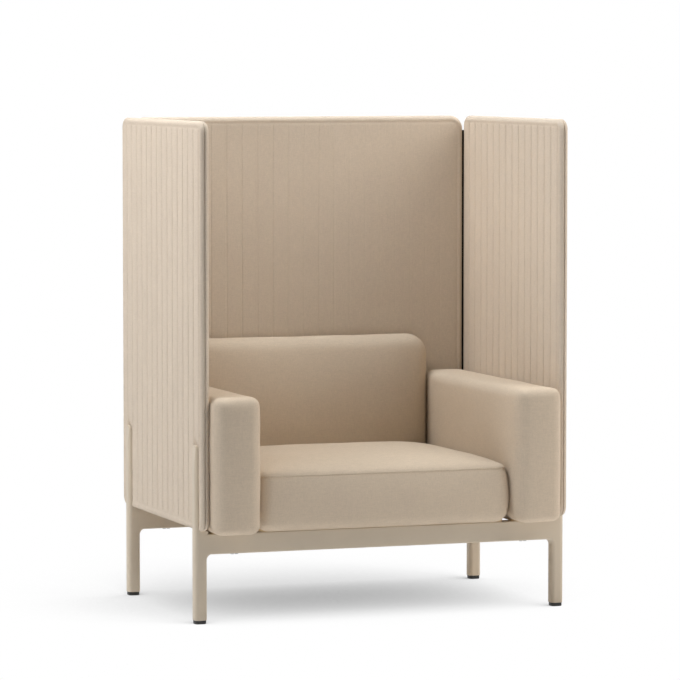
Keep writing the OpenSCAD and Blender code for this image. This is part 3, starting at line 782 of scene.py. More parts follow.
@dataclass(frozen=True)
class Plywood:
    """Raw birch board with a long grain and pale pores.

    Args:
        name: Name of the material.
        colour: Mean colour, linear.
        sway: How far the grain sways, in metres.
    """

    name: str
    colour: Colour
    sway: float = 30 * MM

    def make(self) -> bpy.types.Material:
        """Builds the material."""
        n = Nodes.of_material(self.name)
        place = n.place()
        bent = n.swayed(place, 5.0, 2.0, self.sway)
        grain = n.noise(n.vector("MULTIPLY", bent, (4.0, 90.0, 90.0)), 1.0, 4.0, 0.6)
        pores = n.noise(n.vector("MULTIPLY", place, (60.0, 1400.0, 1400.0)), 1.0, 2.0)
        share = n.math("MULTIPLY_ADD", pores, 0.3, n.math("MULTIPLY", grain, 0.7))
        colour = n.tint(share, self.colour, 0.72, 1.2)
        return n.surface(colour, n.ramp(grain, 0.6, 0.75), n.bump(pores, 0.1 * MM, 0.4), {})


class Finish(Enum):
    """The finishes of the chair, each by the record's slot that it stands for."""

    PANEL_FABRIC = WovenWool("panel_fabric", linear(213, 197, 177), sheen=0.06)
    CUSHION_FABRIC = WovenWool("cushion_fabric", linear(211, 193, 170), thread=1.3 * MM, sheen=0.08)
    FRAME_PAINT = PowderCoat("frame_paint", linear(207, 192, 170))
    DARK_PAINT = PowderCoat("dark_paint", linear(58, 57, 55), rough=0.6)
    GLIDE_PLASTIC = MouldedPlastic("glide_plastic", linear(30, 29, 28))
    STRIP_PLASTIC = MouldedPlastic("strip_plastic", linear(24, 20, 17), rough=0.9, gloss=0.05)
    ZINC_STEEL = PlatedMetal("zinc_steel", linear(186, 188, 190))
    BRASS_INSERT = PlatedMetal("brass_insert", linear(196, 162, 96), rough=0.28)
    PLYWOOD = Plywood("plywood", linear(206, 178, 138))

    @property
    def material(self) -> bpy.types.Material:
        """The Blender material, made on first use."""
        return bpy.data.materials.get(self.value.name + FINISH_ENDING) or self.value.make()


def dress(piece: bpy.types.Object, finish: Finish, body: str = CHAIR) -> None:
    """Gives a new piece its finish and lets it ride on its body.

    Args:
        piece: The piece.
        finish: Its finish.
        body: The CAD body that it moves with.
    """
    piece.data.materials.clear()
    piece.data.materials.append(finish.material)
    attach(piece, body)


# Quilted panels ---------------------------------------------------------------------------------


@dataclass(frozen=True)
class Quilt:
    """Upright sewn channels across a cover.

    Args:
        pitch: Distance between two channels.
        shift: Place of one channel along u.
        depth: Depth of a channel under the ribs.
        sharp: How narrow the crease is; more gives a narrower one.
        blunt: Radius of the bottom of the crease.
        soft: Share of the depth that the ribs have as a soft round.
        edge: Nearest that a channel comes to the side of the panel.
        stop: Distance of a channel's end from the top and the bottom.
        fade: Length over which a channel rises to its end.
        tail: Share of the depth that the channels lose towards the side where u is high.
        tail_from: Where that loss begins, as a share of the half width.
        beside: Grid columns beside a channel, as shares of the way to the middle of the rib.
    """

    pitch: float = 47 * MM
    shift: float = 0.0
    depth: float = 5.4 * MM
    sharp: float = 15.0
    blunt: float = 0.2 * MM
    soft: float = 0.2
    edge: float = 16 * MM
    stop: float = 17 * MM
    fade: float = 14 * MM
    tail: float = 0.0
    tail_from: float = -0.4
    beside: tuple[float, ...] = (0.0, 0.03, 0.065, 0.11, 0.17, 0.26, 0.38, 0.55, 0.77, 1.0)

    def lines(self, half_u: float) -> np.ndarray:
        """Places of the channels between the sides of a panel.

        Args:
            half_u: Half width of the panel.

        Returns:
            Their places along u, in order.
        """
        room = half_u - self.edge
        first = math.ceil((-room - self.shift) / self.pitch)
        last = math.floor((room - self.shift) / self.pitch)
        return np.arange(first, last + 1) * self.pitch + self.shift

    def columns(self, low: float, high: float, least: float = 0.4 * MM) -> np.ndarray:
        """Grid columns from low to high, close together beside each channel.

        Args:
            low: The first column.
            high: The last column.
            least: Least distance of any other column from those two.

        Returns:
            The columns, in order.
        """
        shares = np.array(self.beside)
        numbers = np.arange(math.floor(low / self.pitch) - 1, math.ceil(high / self.pitch) + 2)
        lines = (numbers * self.pitch + self.shift)[:, None]
        spread = np.concatenate([lines + side * shares * self.pitch / 2 for side in (-1, 1)], axis=1)
        inner = np.unique(np.round(spread.ravel(), 6))
        inner = inner[(inner > low + least) & (inner < high - least)]
        return np.concatenate([[low], inner, [high]])

    def drop(self, u: np.ndarray, v: np.ndarray, half_u: float, half_v: float) -> np.ndarray:
        """Depth of the face under the ribs.

        Beside a channel the depth is depth * ((1 - soft) * (1 - t) ^ sharp + soft * (1 - t) ^ 2), where t
        goes from 0 in the channel to 1 on the middle of the rib; it fades out towards the channel's ends
        and by the share tail towards the panel's far side.

        Args:
            u: Places across the panel.
            v: Places along the channels.
            half_u: Half width of the panel.
            half_v: Half height of the panel.

        Returns:
            The depth at each place.
        """
        lines = self.lines(half_u)
        nearest = np.round((u - self.shift) / self.pitch) * self.pitch + self.shift
        nearest = np.clip(nearest, lines[0], lines[-1])
        away = np.hypot(u - nearest, self.blunt) - self.blunt
        high = np.maximum(0.0, 1.0 - away / (self.pitch / 2))
        valley = (1 - self.soft) * high**self.sharp + self.soft * high**2
        ends = smooth_step((half_v - np.abs(v) - self.stop) / self.fade)
        across = 1 - self.tail * smooth_step(u / half_u - self.tail_from)
        return self.depth * valley * ends * across


@dataclass(frozen=True)
class PanelProngs:
    """The prongs of the legs, which lie in a cover and press it.

    Before a prong, where u is lower, the cover dips gently, and behind it sharply. Each dip is a bell
    or an exponential of the distance from the prong. A short fold runs up from its tip.

    Args:
        places: Places of the prongs along u.
        half: Half width of a prong.
        top: Place of its tip along v.
        gap: Gap between a prong and its pocket.
        reach: How far along u a prong presses the cover.
        before: Depth and width of the dip before it.
        behind: Depth and width of the dip behind it.
        fold: Depth, width and length of the fold.
        fold_shift: How far the fold lies behind the middle of the prong.
        close: The lowest and the highest of the closer grid rows round the tip, from there.
        pitch: Distance between these rows.
    """

    places: tuple[float, ...] = ()
    half: float = 17.5 * MM
    top: float = (486 - 807) * MM
    gap: float = 0.7 * MM
    reach: float = 60 * MM
    before: tuple[float, float] = (5.0 * MM, 13 * MM)
    behind: tuple[float, float] = (2.5 * MM, 3.2 * MM)
    fold: Point = (2.6 * MM, 7 * MM, 26 * MM)
    fold_shift: float = 6 * MM
    close: tuple[float, float] = (-30 * MM, 34 * MM)
    pitch: float = 2.6 * MM

    def distance(self, u: np.ndarray, v: np.ndarray) -> np.ndarray:
        """Distance from the nearest prong's outline, a bar with a half round tip.

        Args:
            u: Places across the panel.
            v: Places along the prongs.

        Returns:
            The distance at each place, zero inside a prong.
        """
        tip = self.top - self.half
        each = [np.hypot(u - place, np.maximum(v - tip, 0.0)) - self.half for place in self.places]
        return np.maximum(np.min(each, axis=0), 0.0)

    def dips(self, u: np.ndarray, v: np.ndarray) -> np.ndarray:
        """How far the prongs press the cover.

        Args:
            u: Places across the panel.
            v: Places along the prongs.

        Returns:
            The depth at each place.
        """
        drop = np.zeros_like(u)
        if not self.places:
            return drop
        near = self.distance(u, v)
        gentle = self.before[0] * np.exp(-((near / self.before[1]) ** 2))
        steep = self.behind[0] * np.exp(-near / self.behind[1])
        depth, width, length = self.fold
        above = np.clip((v - self.top) / length, -1.0, 1.0)
        rise = np.where(above > 0, (1 - above) ** 1.5, 0.0)
        for place in self.places:
            drop += np.where((u < place) & (u > place - self.reach), gentle, 0.0)
            drop += np.where((u >= place) & (u < place + self.reach), steep, 0.0)
            drop += depth * np.exp(-(((u - place - self.fold_shift) / width) ** 2)) * rise
        return drop

    def rows(self, inner_v: np.ndarray) -> np.ndarray:
        """Puts closer grid rows in place of those round the tips.

        Args:
            inner_v: The cover's own rows.

        Returns:
            All rows, in order.
        """
        if not self.places:
            return inner_v
        near = even_steps(self.top + self.close[0], self.top + self.close[1], self.pitch)
        far = inner_v[(inner_v < near[0] - MM) | (inner_v > near[-1] + MM)]
        return np.sort(np.concatenate([far, near]))

    def pocket(self, place: float, foot: float) -> np.ndarray:
        """Outline of one prong's pocket, from below the panel up to its half round tip.

        Args:
            place: Place of the prong along u.
            foot: Place of the pocket's lower end along v.

        Returns:
            The corners of the outline, counterclockwise.
        """
        radius = self.half + self.gap
        a = np.radians(np.linspace(0.0, 180.0, 25))
        arc = np.column_stack([place + radius * np.cos(a), self.top - self.half + radius * np.sin(a)])
        return np.concatenate([[[place - radius, foot], [place + radius, foot]], arc])


@dataclass
class QuiltedCover:
    """One face of a panel: wadding under quilted fabric, with a half round edge down to the seam.

    Args:
        name: Name of the piece.
        node: The CAD cover that it stands for.
        half_u: Half width of the panel.
        corner: Corner radius of the panel.
        quilt: Its channels.
        axes: Directions of u, v and w in the chair's frame.
        origin: Middle of the panel.
        prongs: The prongs that lie in this cover, if any.
        seed: Seed of the small unevenness.
        half_v: Half height of the panel.
        thick: Thickness of the cover.
        least: Least thickness that channels and dips leave.
        seam: Height over the panel's middle plane at which the cover ends.
        round_from: Angle at which the half round edge begins, in degrees.
        lip: Insets and shares of the height of the rings from the edge in to the seam.
        ease: Inset at which the relief begins, and the width over which it grows.
        uneven: Depth and size of the small unevenness.
        uneven_scale: How much closer together it lies along u and along v.
        welt: Depth, inset and width of the shallow dip along the edge.
        rim_pitch: Distance between two border rows of the face.
        row_pitch: Distance between two rows of the grid.
        pocket_w: Lowest and highest place of a prong's pocket along w.
        pocket_under: How far a pocket reaches below the panel.
    """

    name: str
    node: str
    half_u: float
    corner: float
    quilt: Quilt
    axes: Axes
    origin: Point
    prongs: PanelProngs = PanelProngs()
    seed: int = 1
    half_v: float = 553 * MM
    thick: float = 14 * MM
    least: float = 5.6 * MM
    seam: float = 0.35 * MM
    round_from: float = 14.0
    lip: tuple[tuple[float, float], ...] = (
        (0.05 * MM, 0.62),
        (0.5 * MM, 0.32),
        (1.25 * MM, 0.14),
        (2.95 * MM, 0.06),
        (6.75 * MM, 0.05),
    )
    ease: tuple[float, float] = (6 * MM, 14 * MM)
    uneven: tuple[float, float] = (0.35 * MM, 60 * MM)
    uneven_scale: tuple[float, float] = (2.2, 0.55)
    welt: Point = (0.7 * MM, 19 * MM, 4 * MM)
    rim_pitch: float = 1.9 * MM
    row_pitch: float = 11 * MM
    pocket_w: tuple[float, float] = (-3 * MM, 24 * MM)
    pocket_under: float = 5 * MM

    def rim(self) -> np.ndarray:
        """Border rows: the half round edge, then close rows to the corner's centre."""
        arc = arc_rim(self.thick, self.thick, 9, start=self.round_from)
        flat = even_steps(self.thick, self.corner, self.rim_pitch)[1:]
        return np.concatenate([arc, np.column_stack([flat, np.full(len(flat), self.thick)])])

    def lip_rings(self) -> np.ndarray:
        """Rings from the edge in to the seam between the two covers: a small round lip."""
        inset, height = self.rim()[0]
        further, share = np.array(self.lip).T
        return np.column_stack([inset + further, self.seam + (height - self.seam) * share])

    def relief(self, u: np.ndarray, v: np.ndarray, inset: np.ndarray) -> np.ndarray:
        """How far the face lies under the ribs: channels, unevenness, the dip along the edge, prongs.

        Args:
            u: Places across the panel.
            v: Places along the channels.
            inset: Distances from the panel's outline.

        Returns:
            The depth at each place.
        """
        inner = smooth_step((inset - self.ease[0]) / self.ease[1])
        drop = self.quilt.drop(u, v, self.half_u, self.half_v) * inner
        depth, size = self.uneven
        places = np.column_stack([u, v]) * self.uneven_scale
        drop += depth * (1 + soft_noise(places, size, self.seed)) * inner
        depth, middle, width = self.welt
        drop += depth * np.exp(-(((inset - middle) / width) ** 2))
        return np.minimum(drop + self.prongs.dips(u, v), self.thick - self.least)

    def build(self) -> bpy.types.Object:
        """Builds and dresses the cover."""
        inner_u = self.quilt.columns(-self.half_u + self.corner, self.half_u - self.corner)
        inner_v = even_steps(-self.half_v + self.corner, self.half_v - self.corner, self.row_pitch)
        inner_v = self.prongs.rows(inner_v)
        half = (self.half_u, self.half_v)
        pad = pad_mesh(half, self.corner, self.rim(), self.lip_rings(), None, inner_u, inner_v)
        face = pad.face
        drop = self.relief(face[:, 0], face[:, 1], pad.inset.ravel())
        face[:, 2] -= drop * np.clip(face[:, 2] / self.thick, 0.0, 1.0) ** 3
        piece = new_piece(self.name, pad.placed(self.axes, self.origin))
        for place in self.prongs.places:
            self.cut_pocket(piece, place)
        dress(piece, Finish.PANEL_FABRIC)
        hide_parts(self.node)
        return piece

    def cut_pocket(self, piece: bpy.types.Object, place: float) -> None:
        """Cuts the room for one prong out of the cover.

        Args:
            piece: The cover.
            place: Place of the prong along u.
        """
        outline = self.prongs.pocket(place, -self.half_v - self.pocket_under)
        room = prism(outline, *self.pocket_w).placed(self.axes, self.origin)
        tool = new_piece(self.name + "_cutter", room, smooth=False)
        cut = piece.modifiers.new("Pocket", "BOOLEAN")
        cut.operation = "DIFFERENCE"
        cut.solver = "EXACT"
        cut.object = tool
        apply_modifiers(piece)
        bpy.data.objects.remove(tool)


@dataclass
class AcousticPanels:
    """The three quilted panels, each with two covers.

    Args:
        side_x: Distance of a side panel's middle plane from the middle of the chair.
        side_half: Half depth of a side panel.
        side_corner: Corner radius of a side panel.
        back_y: Place of the back panel's middle plane.
        back_half: Half width of the back panel.
        back_corner: Corner radius of the back panel.
        back_thick: Thickness of the covers of the back panel.
        middle_z: Height of the middle of all panels.
        rear_y: How far the middle of a side panel lies behind the middle of the legs.
        outer_thick: Thickness of the outer covers of the side panels, which the prongs stand out of.
        inner_thick: Thickness of the inner covers of the side panels.
        side_quilt: Channels of the side panels.
        back_quilts: Channels on the front and on the rear of the back panel.
    """

    side_x: float = 523 * MM
    side_half: float = 364 * MM
    side_corner: float = 30 * MM
    back_y: float = 364 * MM + SHIFT_Y
    back_half: float = 505.5 * MM
    back_corner: float = 40 * MM
    back_thick: float = 14 * MM
    middle_z: float = 807 * MM
    rear_y: float = 1.5 * MM
    outer_thick: float = 12 * MM
    inner_thick: float = 15 * MM
    side_quilt: Quilt = Quilt(shift=-14.1 * MM)
    back_quilts: tuple[Quilt, Quilt] = (
        Quilt(shift=9.4 * MM, depth=1.5 * MM, soft=0.04, tail=0.85),
        Quilt(shift=9.4 * MM, depth=1.5 * MM, soft=0.04),
    )

    def side_cover(self, side: int, name: str, outer: bool, seed: int) -> QuiltedCover:
        """One cover of a side panel.

        Args:
            side: -1 for the left panel and 1 for the right panel.
            name: Name of the panel.
            outer: Whether it is the outer cover, with the prongs in it.
            seed: Seed of its unevenness.

        Returns:
            The cover.
        """
        face = "outer" if outer else "inner"
        return QuiltedCover(
            name=f"{name}_panel_{face}_fabric",
            node=f"{name}_panel_{face}_cover",
            half_u=self.side_half,
            corner=self.side_corner,
            quilt=self.side_quilt,
            axes=((0, 1, 0), (0, 0, 1), (side if outer else -side, 0, 0)),
            origin=(side * self.side_x, SHIFT_Y + self.rear_y, self.middle_z),
            prongs=PanelProngs((-LEG_Y - self.rear_y, LEG_Y - self.rear_y) if outer else ()),
            seed=seed,
            thick=self.outer_thick if outer else self.inner_thick,
        )

    def back_cover(self, way: int, face: str, quilt: Quilt, seed: int) -> QuiltedCover:
        """One cover of the back panel.

        Args:
            way: -1 for the cover that faces the front and 1 for the one that faces the rear.
            face: Name of that side.
            quilt: Its channels.
            seed: Seed of its unevenness.

        Returns:
            The cover.
        """
        return QuiltedCover(
            name=f"back_panel_{face}_fabric",
            node=f"back_panel_{face}_cover",
            half_u=self.back_half,
            corner=self.back_corner,
            quilt=quilt,
            axes=((1, 0, 0), (0, 0, 1), (0, way, 0)),
            origin=(0.0, self.back_y, self.middle_z),
            seed=seed,
            thick=self.back_thick,
        )

    def build(self) -> list[bpy.types.Object]:
        """Builds the six covers."""
        covers = [
            self.side_cover(side, name, outer, seed=4 + side + (not outer))
            for side, name in SIDES
            for outer in (True, False)
        ]
        covers.append(self.back_cover(-1, "front", self.back_quilts[0], seed=7))
        covers.append(self.back_cover(1, "rear", self.back_quilts[1], seed=8))
        return [cover.build() for cover in covers]


# Cushions ---------------------------------------------------------------------------------------


@dataclass
class FoamCushion:
    """A foam cushion in a tight wool cover.

    The pad stands on its foot with w up, or for the back cushion with w to the front. It starts
    smaller than its size by slack and swells as cloth.

    Args:
        name: Name of the piece.
        node: The CAD cushion that it stands for.
        half: Half sizes along u and v.
        height: Height of the edge of the face over the foot.
        corner: Corner radius of the outline.
        edge: Width of the round at the face.
        edge_rise: Height of the round at the face.
        foot_edge: Radius of the round at the foot.
        crown: Rise of the middle of the face over its edge.
        axes: Directions of u, v and w in the chair's frame.
        origin: Middle of the foot.
        belly: How far the sides stand out half way up.
        bow: How far the sides bow out in plan, along u and v.
        slack: How much smaller the pad starts on each side.
        swelling: The furthest that the cloth may move.
        pressure: Force of the air inside the cloth.
        seam: Height of a seam round the side, or zero for none.
        seed: Seed of the small folds.
        seam_rows: Heights over the seam of the grid's rings beside it.
        seam_clear: Least distance of the other rings from these.
        seam_groove: Depth and width of the groove in which the seam lies.
        flat: Powers of the crown's curve along u and v; 2 gives a round crown, more a flatter one.
        folds: Size and depth of the large and of the small folds.
        fold_scale: How much closer together they lie along u, v and w.
        grid: Distance between two points.
        fill: How tight the cushion is stuffed, from 0 to 1; not used.
        cloth: How its cover swells.
    """

    name: str
    node: str
    half: tuple[float, float]
    height: float
    corner: float
    edge: float
    edge_rise: float
    foot_edge: float
    crown: float
    axes: Axes
    origin: Point
    belly: float = 3 * MM
    bow: tuple[float, float] = (2 * MM, 2 * MM)
    slack: float = 4 * MM
    swelling: float = 5 * MM
    pressure: float = 3.0
    seam: float = 0.0
    seed: int = 20
    seam_rows: tuple[float, ...] = (-9 * MM, -5 * MM, -2.2 * MM, 0.0, 2.2 * MM, 5 * MM)
    seam_clear: float = 4 * MM
    seam_groove: tuple[float, float] = (2.2 * MM, 1.5 * MM)
    flat: tuple[float, float] = (4.0, 4.0)
    folds: tuple[tuple[float, float], ...] = ((95 * MM, 0.7 * MM), (34 * MM, 0.18 * MM))
    fold_scale: Point = (1.0, 1.0, 1.6)
    grid: float = 9 * MM
    fill: float = 0.85
    cloth: StuffedCover = StuffedCover()

    def side_rings(self) -> np.ndarray:
        """Rings of the side from the face down to the foot, close together beside the seam."""
        top = self.height - self.edge_rise
        heights = even_steps(self.foot_edge, top, self.grid)[1:-1]
        if self.seam:
            close = self.seam + np.array(self.seam_rows)
            heights = np.concatenate([heights[heights < close[0] - self.seam_clear], close])
        return np.column_stack([np.zeros(len(heights)), np.sort(heights)[::-1]])

    def rim(self, width: float, rise: float, low: float, steps: int) -> np.ndarray:
        """Border rows of the face or the foot: a quarter round, then rows to the corner's centre.

        Args:
            width: Width of the round.
            rise: Height of the round, less than zero at the foot.
            low: Height at which the round begins.
            steps: Number of steps of the round.

        Returns:
            Inset and height of each row.
        """
        rows = arc_rim(width, rise, steps) + (0, low)
        if rows[-1, 0] < self.corner - MM:
            rest = even_steps(rows[-1, 0], self.corner, self.grid)[1:]
            rows = np.concatenate([rows, np.column_stack([rest, np.full(len(rest), rows[-1, 1])])])
        return rows

    def pad(self) -> PadMesh:
        """The pad before it swells."""
        half = np.array(self.half) - self.slack - self.belly - np.array(self.bow)
        rims = (
            self.rim(self.edge, self.edge_rise, self.height - self.edge_rise, 6),
            self.rim(self.foot_edge, -self.foot_edge, self.foot_edge, 5),
        )
        count = max(len(rim) for rim in rims)
        face_rim, foot_rim = (self.with_rows(rim, count) for rim in rims)
        inner_u, inner_v = (even_steps(self.corner - size, size - self.corner, self.grid) for size in half)
        made = pad_mesh(half, self.corner, face_rim, self.side_rings(), foot_rim, inner_u, inner_v)
        face = made.face
        rise = np.maximum(0, 1 - np.abs(face[:, :2] / half) ** self.flat)
        face[:, 2] += self.crown * rise[:, 0] * rise[:, 1]
        u, v, w = made.points.T
        level = np.clip(w / (self.seam or self.height), 0.0, 1.0)
        out = self.belly * 4 * level * (1 - level)
        wider = 1 + (out + self.bow[0] * (1 - np.minimum(1, np.abs(v / half[1])) ** 2)) / half[0]
        longer = 1 + (out + self.bow[1] * (1 - np.minimum(1, np.abs(u / half[0])) ** 2)) / half[1]
        made.points[:, 0], made.points[:, 1] = u * wider, v * longer
        return made

    @staticmethod
    def with_rows(rim: np.ndarray, count: int) -> np.ndarray:
        """Shares a rim out evenly along its length.

        Args:
            rim: Inset and height of each row.
            count: The new number of rows.

        Returns:
            Inset and height of each new row.
        """
        along = np.concatenate([[0.0], np.cumsum(np.hypot(*np.diff(rim, axis=0).T))])
        at = np.linspace(0.0, along[-1], count)
        return np.column_stack([np.interp(at, along, rim[:, 0]), np.interp(at, along, rim[:, 1])])

    def fit(self, points: np.ndarray) -> np.ndarray:
        """Finds how to scale the swollen pad, so that its widest places and crown get their sizes.

        Args:
            points: Its vertices.

        Returns:
            The scales along u, v and w.
        """
        reach = np.array([*np.abs(points[:, :2]).max(axis=0), points[:, 2].max()])
        scale = np.array([*self.half, self.height + self.crown]) / reach
        LOG.info("%s is scaled by %.4f, %.4f and %.4f", self.name, *scale)
        return scale

    def build(self) -> bpy.types.Object:
        """Builds, swells and dresses the cushion."""
        pad = self.pad()
        swollen = new_piece(self.name, pad)
        self.cloth.swell(swollen, self.pressure, self.swelling)
        points = mesh_points(swollen.data)
        scale = self.fit(points)
        points *= scale
        normals = np.empty(len(points) * 3, np.float32)
        swollen.data.vertices.foreach_get("normal", normals)
        places = points * self.fold_scale
        folds = sum(
            soft_noise(places, size, self.seed + number) * depth
            for number, (size, depth) in enumerate(self.folds)
        )
        points += normals.reshape(-1, 3) * folds[:, None]
        if self.seam:
            depth, width = self.seam_groove
            away = np.abs(points[:, 2] - self.seam * scale[2])
            out = points[:, :2] / np.maximum(np.abs(points[:, :2]).max(axis=1, keepdims=True), 1e-9)
            groove = depth * np.exp(-((away / width) ** 2)) * self.is_side(points)
            points[:, :2] -= out * groove[:, None]
        points[:, 2] = np.maximum(points[:, 2], 0.0)
        bpy.data.objects.remove(swollen)
        pad.points = points
        piece = new_piece(self.name, pad.placed(self.axes, self.origin))
        finer = piece.modifiers.new("Finer", "SUBSURF")
        finer.levels = finer.render_levels = 1
        dress(piece, Finish.CUSHION_FABRIC)
        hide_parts(self.node)
        return piece

    def is_side(self, points: np.ndarray) -> np.ndarray:
        """1 for points on the side of the cushion and 0 for those on its face and foot."""
        near = (np.abs(points[:, :2]) / self.half).max(axis=1)
        return (near > 0.9).astype(float)


@dataclass
class Upholstery:
    """The seat, the two arms and the back cushion.

    Args:
        foot_z: Height of the cushions' foot.
        arm_x: Distance of an arm's middle from the middle of the chair.
    """

    foot_z: float = 245.3 * MM
    arm_x: float = 439.7 * MM

    def seat(self) -> FoamCushion:
        """The deep seat, crowned, with a seam under the edge of its top."""
        return FoamCushion(
            name="seat_pad",
            node="seat_cushion",
            half=(373.5 * MM, 307.6 * MM),
            height=165 * MM,
            corner=38 * MM,
            edge=22 * MM,
            edge_rise=10 * MM,
            foot_edge=26 * MM,
            crown=27 * MM,
            axes=UPRIGHT,
            origin=(0.0, SHIFT_Y - 60.9 * MM, self.foot_z),
            belly=9 * MM,
            bow=(2 * MM, 5 * MM),
            slack=3 * MM,
            swelling=4 * MM,
            seam=153 * MM,
        )

    def arm(self, side: int, name: str) -> FoamCushion:
        """A box arm.

        Args:
            side: -1 for the left arm and 1 for the right arm.
            name: Name of that side.

        Returns:
            The arm.
        """
        return FoamCushion(
            name=f"{name}_arm_pad",
            node=f"{name}_arm_cushion",
            half=(71.5 * MM, 380.5 * MM),
            height=370 * MM,
            corner=35 * MM,
            edge=25 * MM,
            edge_rise=25 * MM,
            foot_edge=22 * MM,
            crown=4 * MM,
            axes=UPRIGHT,
            origin=(side * self.arm_x, SHIFT_Y - 27.7 * MM, self.foot_z),
            belly=1 * MM,
            bow=(0.0, 5 * MM),
            slack=2 * MM,
            swelling=3.5 * MM,
            seed=30 + side,
        )

    def back(self) -> FoamCushion:
        """The low back cushion, whose face looks to the front."""
        return FoamCushion(
            name="back_pad",
            node="back_cushion",
            half=(373 * MM, 241 * MM),
            height=64 * MM,
            corner=60 * MM,
            edge=34 * MM,
            edge_rise=32 * MM,
            foot_edge=13 * MM,
            crown=44 * MM,
            axes=((1, 0, 0), (0, 0, 1), (0, -1, 0)),
            origin=(0.0, SHIFT_Y + 345.7 * MM, self.foot_z + 240.5 * MM),
            belly=1 * MM,
            bow=(0.0, 1 * MM),
            slack=1 * MM,
            swelling=4 * MM,
            flat=(5.0, 2.0),
            seed=40,
        )

    def build(self) -> list[bpy.types.Object]:
        """Builds the four cushions."""
        arms = [self.arm(side, name) for side, name in SIDES]
        return [cushion.build() for cushion in (self.seat(), *arms, self.back())]


# Frame ------------------------------------------------------------------------------------------


@dataclass
class CornerStrips:
    """The two dark strips that close the corners between the panels, just behind the back panel's face.

    Args:
        half: Half width and half depth of a strip.
        corner: Radius of its upright edges.
        edge: Radius of the rounds at its ends.
        side_x: Distance of its middle from the middle of the chair.
        middle_y: Place of its middle.
        low: Height of its lower end.
        high: Height of its upper end.
    """

    half: tuple[float, float] = (8.8 * MM, 4.75 * MM)
    corner: float = 1.6 * MM
    edge: float = 1.0 * MM
    side_x: float = 507 * MM
    middle_y: float = 374.75 * MM
    low: float = 254 * MM
    high: float = 1317 * MM

    def build(self) -> list[bpy.types.Object]:
        """Builds and dresses both strips."""
        strips = []
        bar = rounded_bar(self.half, self.corner, self.edge, self.low, self.high)
        for side, name in SIDES:
            place = (side * self.side_x, self.middle_y, 0.0)
            strip = new_piece(f"{name}_corner_seal", bar.placed(UPRIGHT, place))
            dress(strip, Finish.STRIP_PLASTIC)
            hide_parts(f"{name}_corner_strip")
            strips.append(strip)
        return strips


@dataclass
class LegFittings:
    """Low screws under the rails, and the bosses on the legs that the side panels rest on.

    Args:
        screw_x: Distances of the screws from the middle of the chair.
        under: Height of the underside of the rails.
        screw_profile: Radius and height of a screw's profile in millimetres, from socket to tip.
        boss_x: Distance of the middle of a boss from the middle of the chair.
        boss_half: Half width and half depth of a boss.
        boss_low: Height of a boss's foot, just inside the leg.
        boss_high: Height of a boss's top, just under the panel.
        boss_corner: Radius of a boss's upright edges.
        boss_edge: Radius of the rounds at its ends.
    """

    screw_x: tuple[float, float] = (448.5 * MM, 472.5 * MM)
    under: float = 189 * MM
    screw_profile: tuple[tuple[float, float], ...] = (
        *((0.0, 1.0), (2.2, 1.0), (2.3, -0.4), (2.6, -0.62), (4.2, -0.66), (4.9, -0.42)),
        *((5.1, 0.0), (5.1, 0.25), (2.4, 0.3), (2.4, 17.0), (0.0, 17.5)),
    )
    boss_x: float = 518.5 * MM
    boss_half: tuple[float, float] = (17.5 * MM, 16.5 * MM)
    boss_low: float = 243.5 * MM
    boss_high: float = 254.6 * MM
    boss_corner: float = 5 * MM
    boss_edge: float = 1.5 * MM

    def screws(self) -> bpy.types.Object:
        """The eight screws under the rails."""
        places = [
            (side * x, y, self.under)
            for y in (FRONT_LEG_Y, REAR_LEG_Y)
            for x in self.screw_x
            for side, _ in SIDES
        ]
        turned = turned_set(np.array(self.screw_profile) * MM, np.array(places))
        screws = new_piece("rail_screw_set", turned)
        dress(screws, Finish.ZINC_STEEL)
        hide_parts("rail_screws")
        return screws

    def bosses(self) -> list[bpy.types.Object]:
        """The four bosses, painted with the frame."""
        made = []
        bar = rounded_bar(self.boss_half, self.boss_corner, self.boss_edge, self.boss_low, self.boss_high)
        for side, across in SIDES:
            for y, along in ((FRONT_LEG_Y, "front"), (REAR_LEG_Y, "rear")):
                place = (side * self.boss_x, y, 0.0)
                boss = new_piece(f"{along}_{across}_panel_rest", bar.placed(UPRIGHT, place))
                dress(boss, Finish.FRAME_PAINT)
                made.append(boss)
        return made

    def build(self) -> list[bpy.types.Object]:
        """Builds the screws and the bosses."""
        return [self.screws(), *self.bosses()]


@dataclass(frozen=True)
class CarriedNodes:
    """The CAD solids that stay as they are and get a finish.

    Args:
        finishes: The finish for each ending of a node's name.
    """

    finishes: dict[str, Finish] = field(
        default_factory=lambda: {
            "_leg": Finish.FRAME_PAINT,
            "_rail": Finish.FRAME_PAINT,
            "_stretcher": Finish.DARK_PAINT,
            "_cross_bar": Finish.DARK_PAINT,
            "_bracket": Finish.DARK_PAINT,
            "_pad": Finish.GLIDE_PLASTIC,
            "_stud": Finish.ZINC_STEEL,
            "screws": Finish.ZINC_STEEL,
            "_inserts": Finish.BRASS_INSERT,
            "_core": Finish.PLYWOOD,
            "_board": Finish.PLYWOOD,
        }
    )

    def dress(self) -> int:
        """Gives these CAD nodes their finishes and returns how many there are."""
        count = 0
        for name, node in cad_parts.items():
            for ending, finish in self.finishes.items():
                if name.endswith(ending):
                    node.data.materials.clear()
                    node.data.materials.append(finish.material)
                    count += 1
        return count


# Studio -----------------------------------------------------------------------------------------


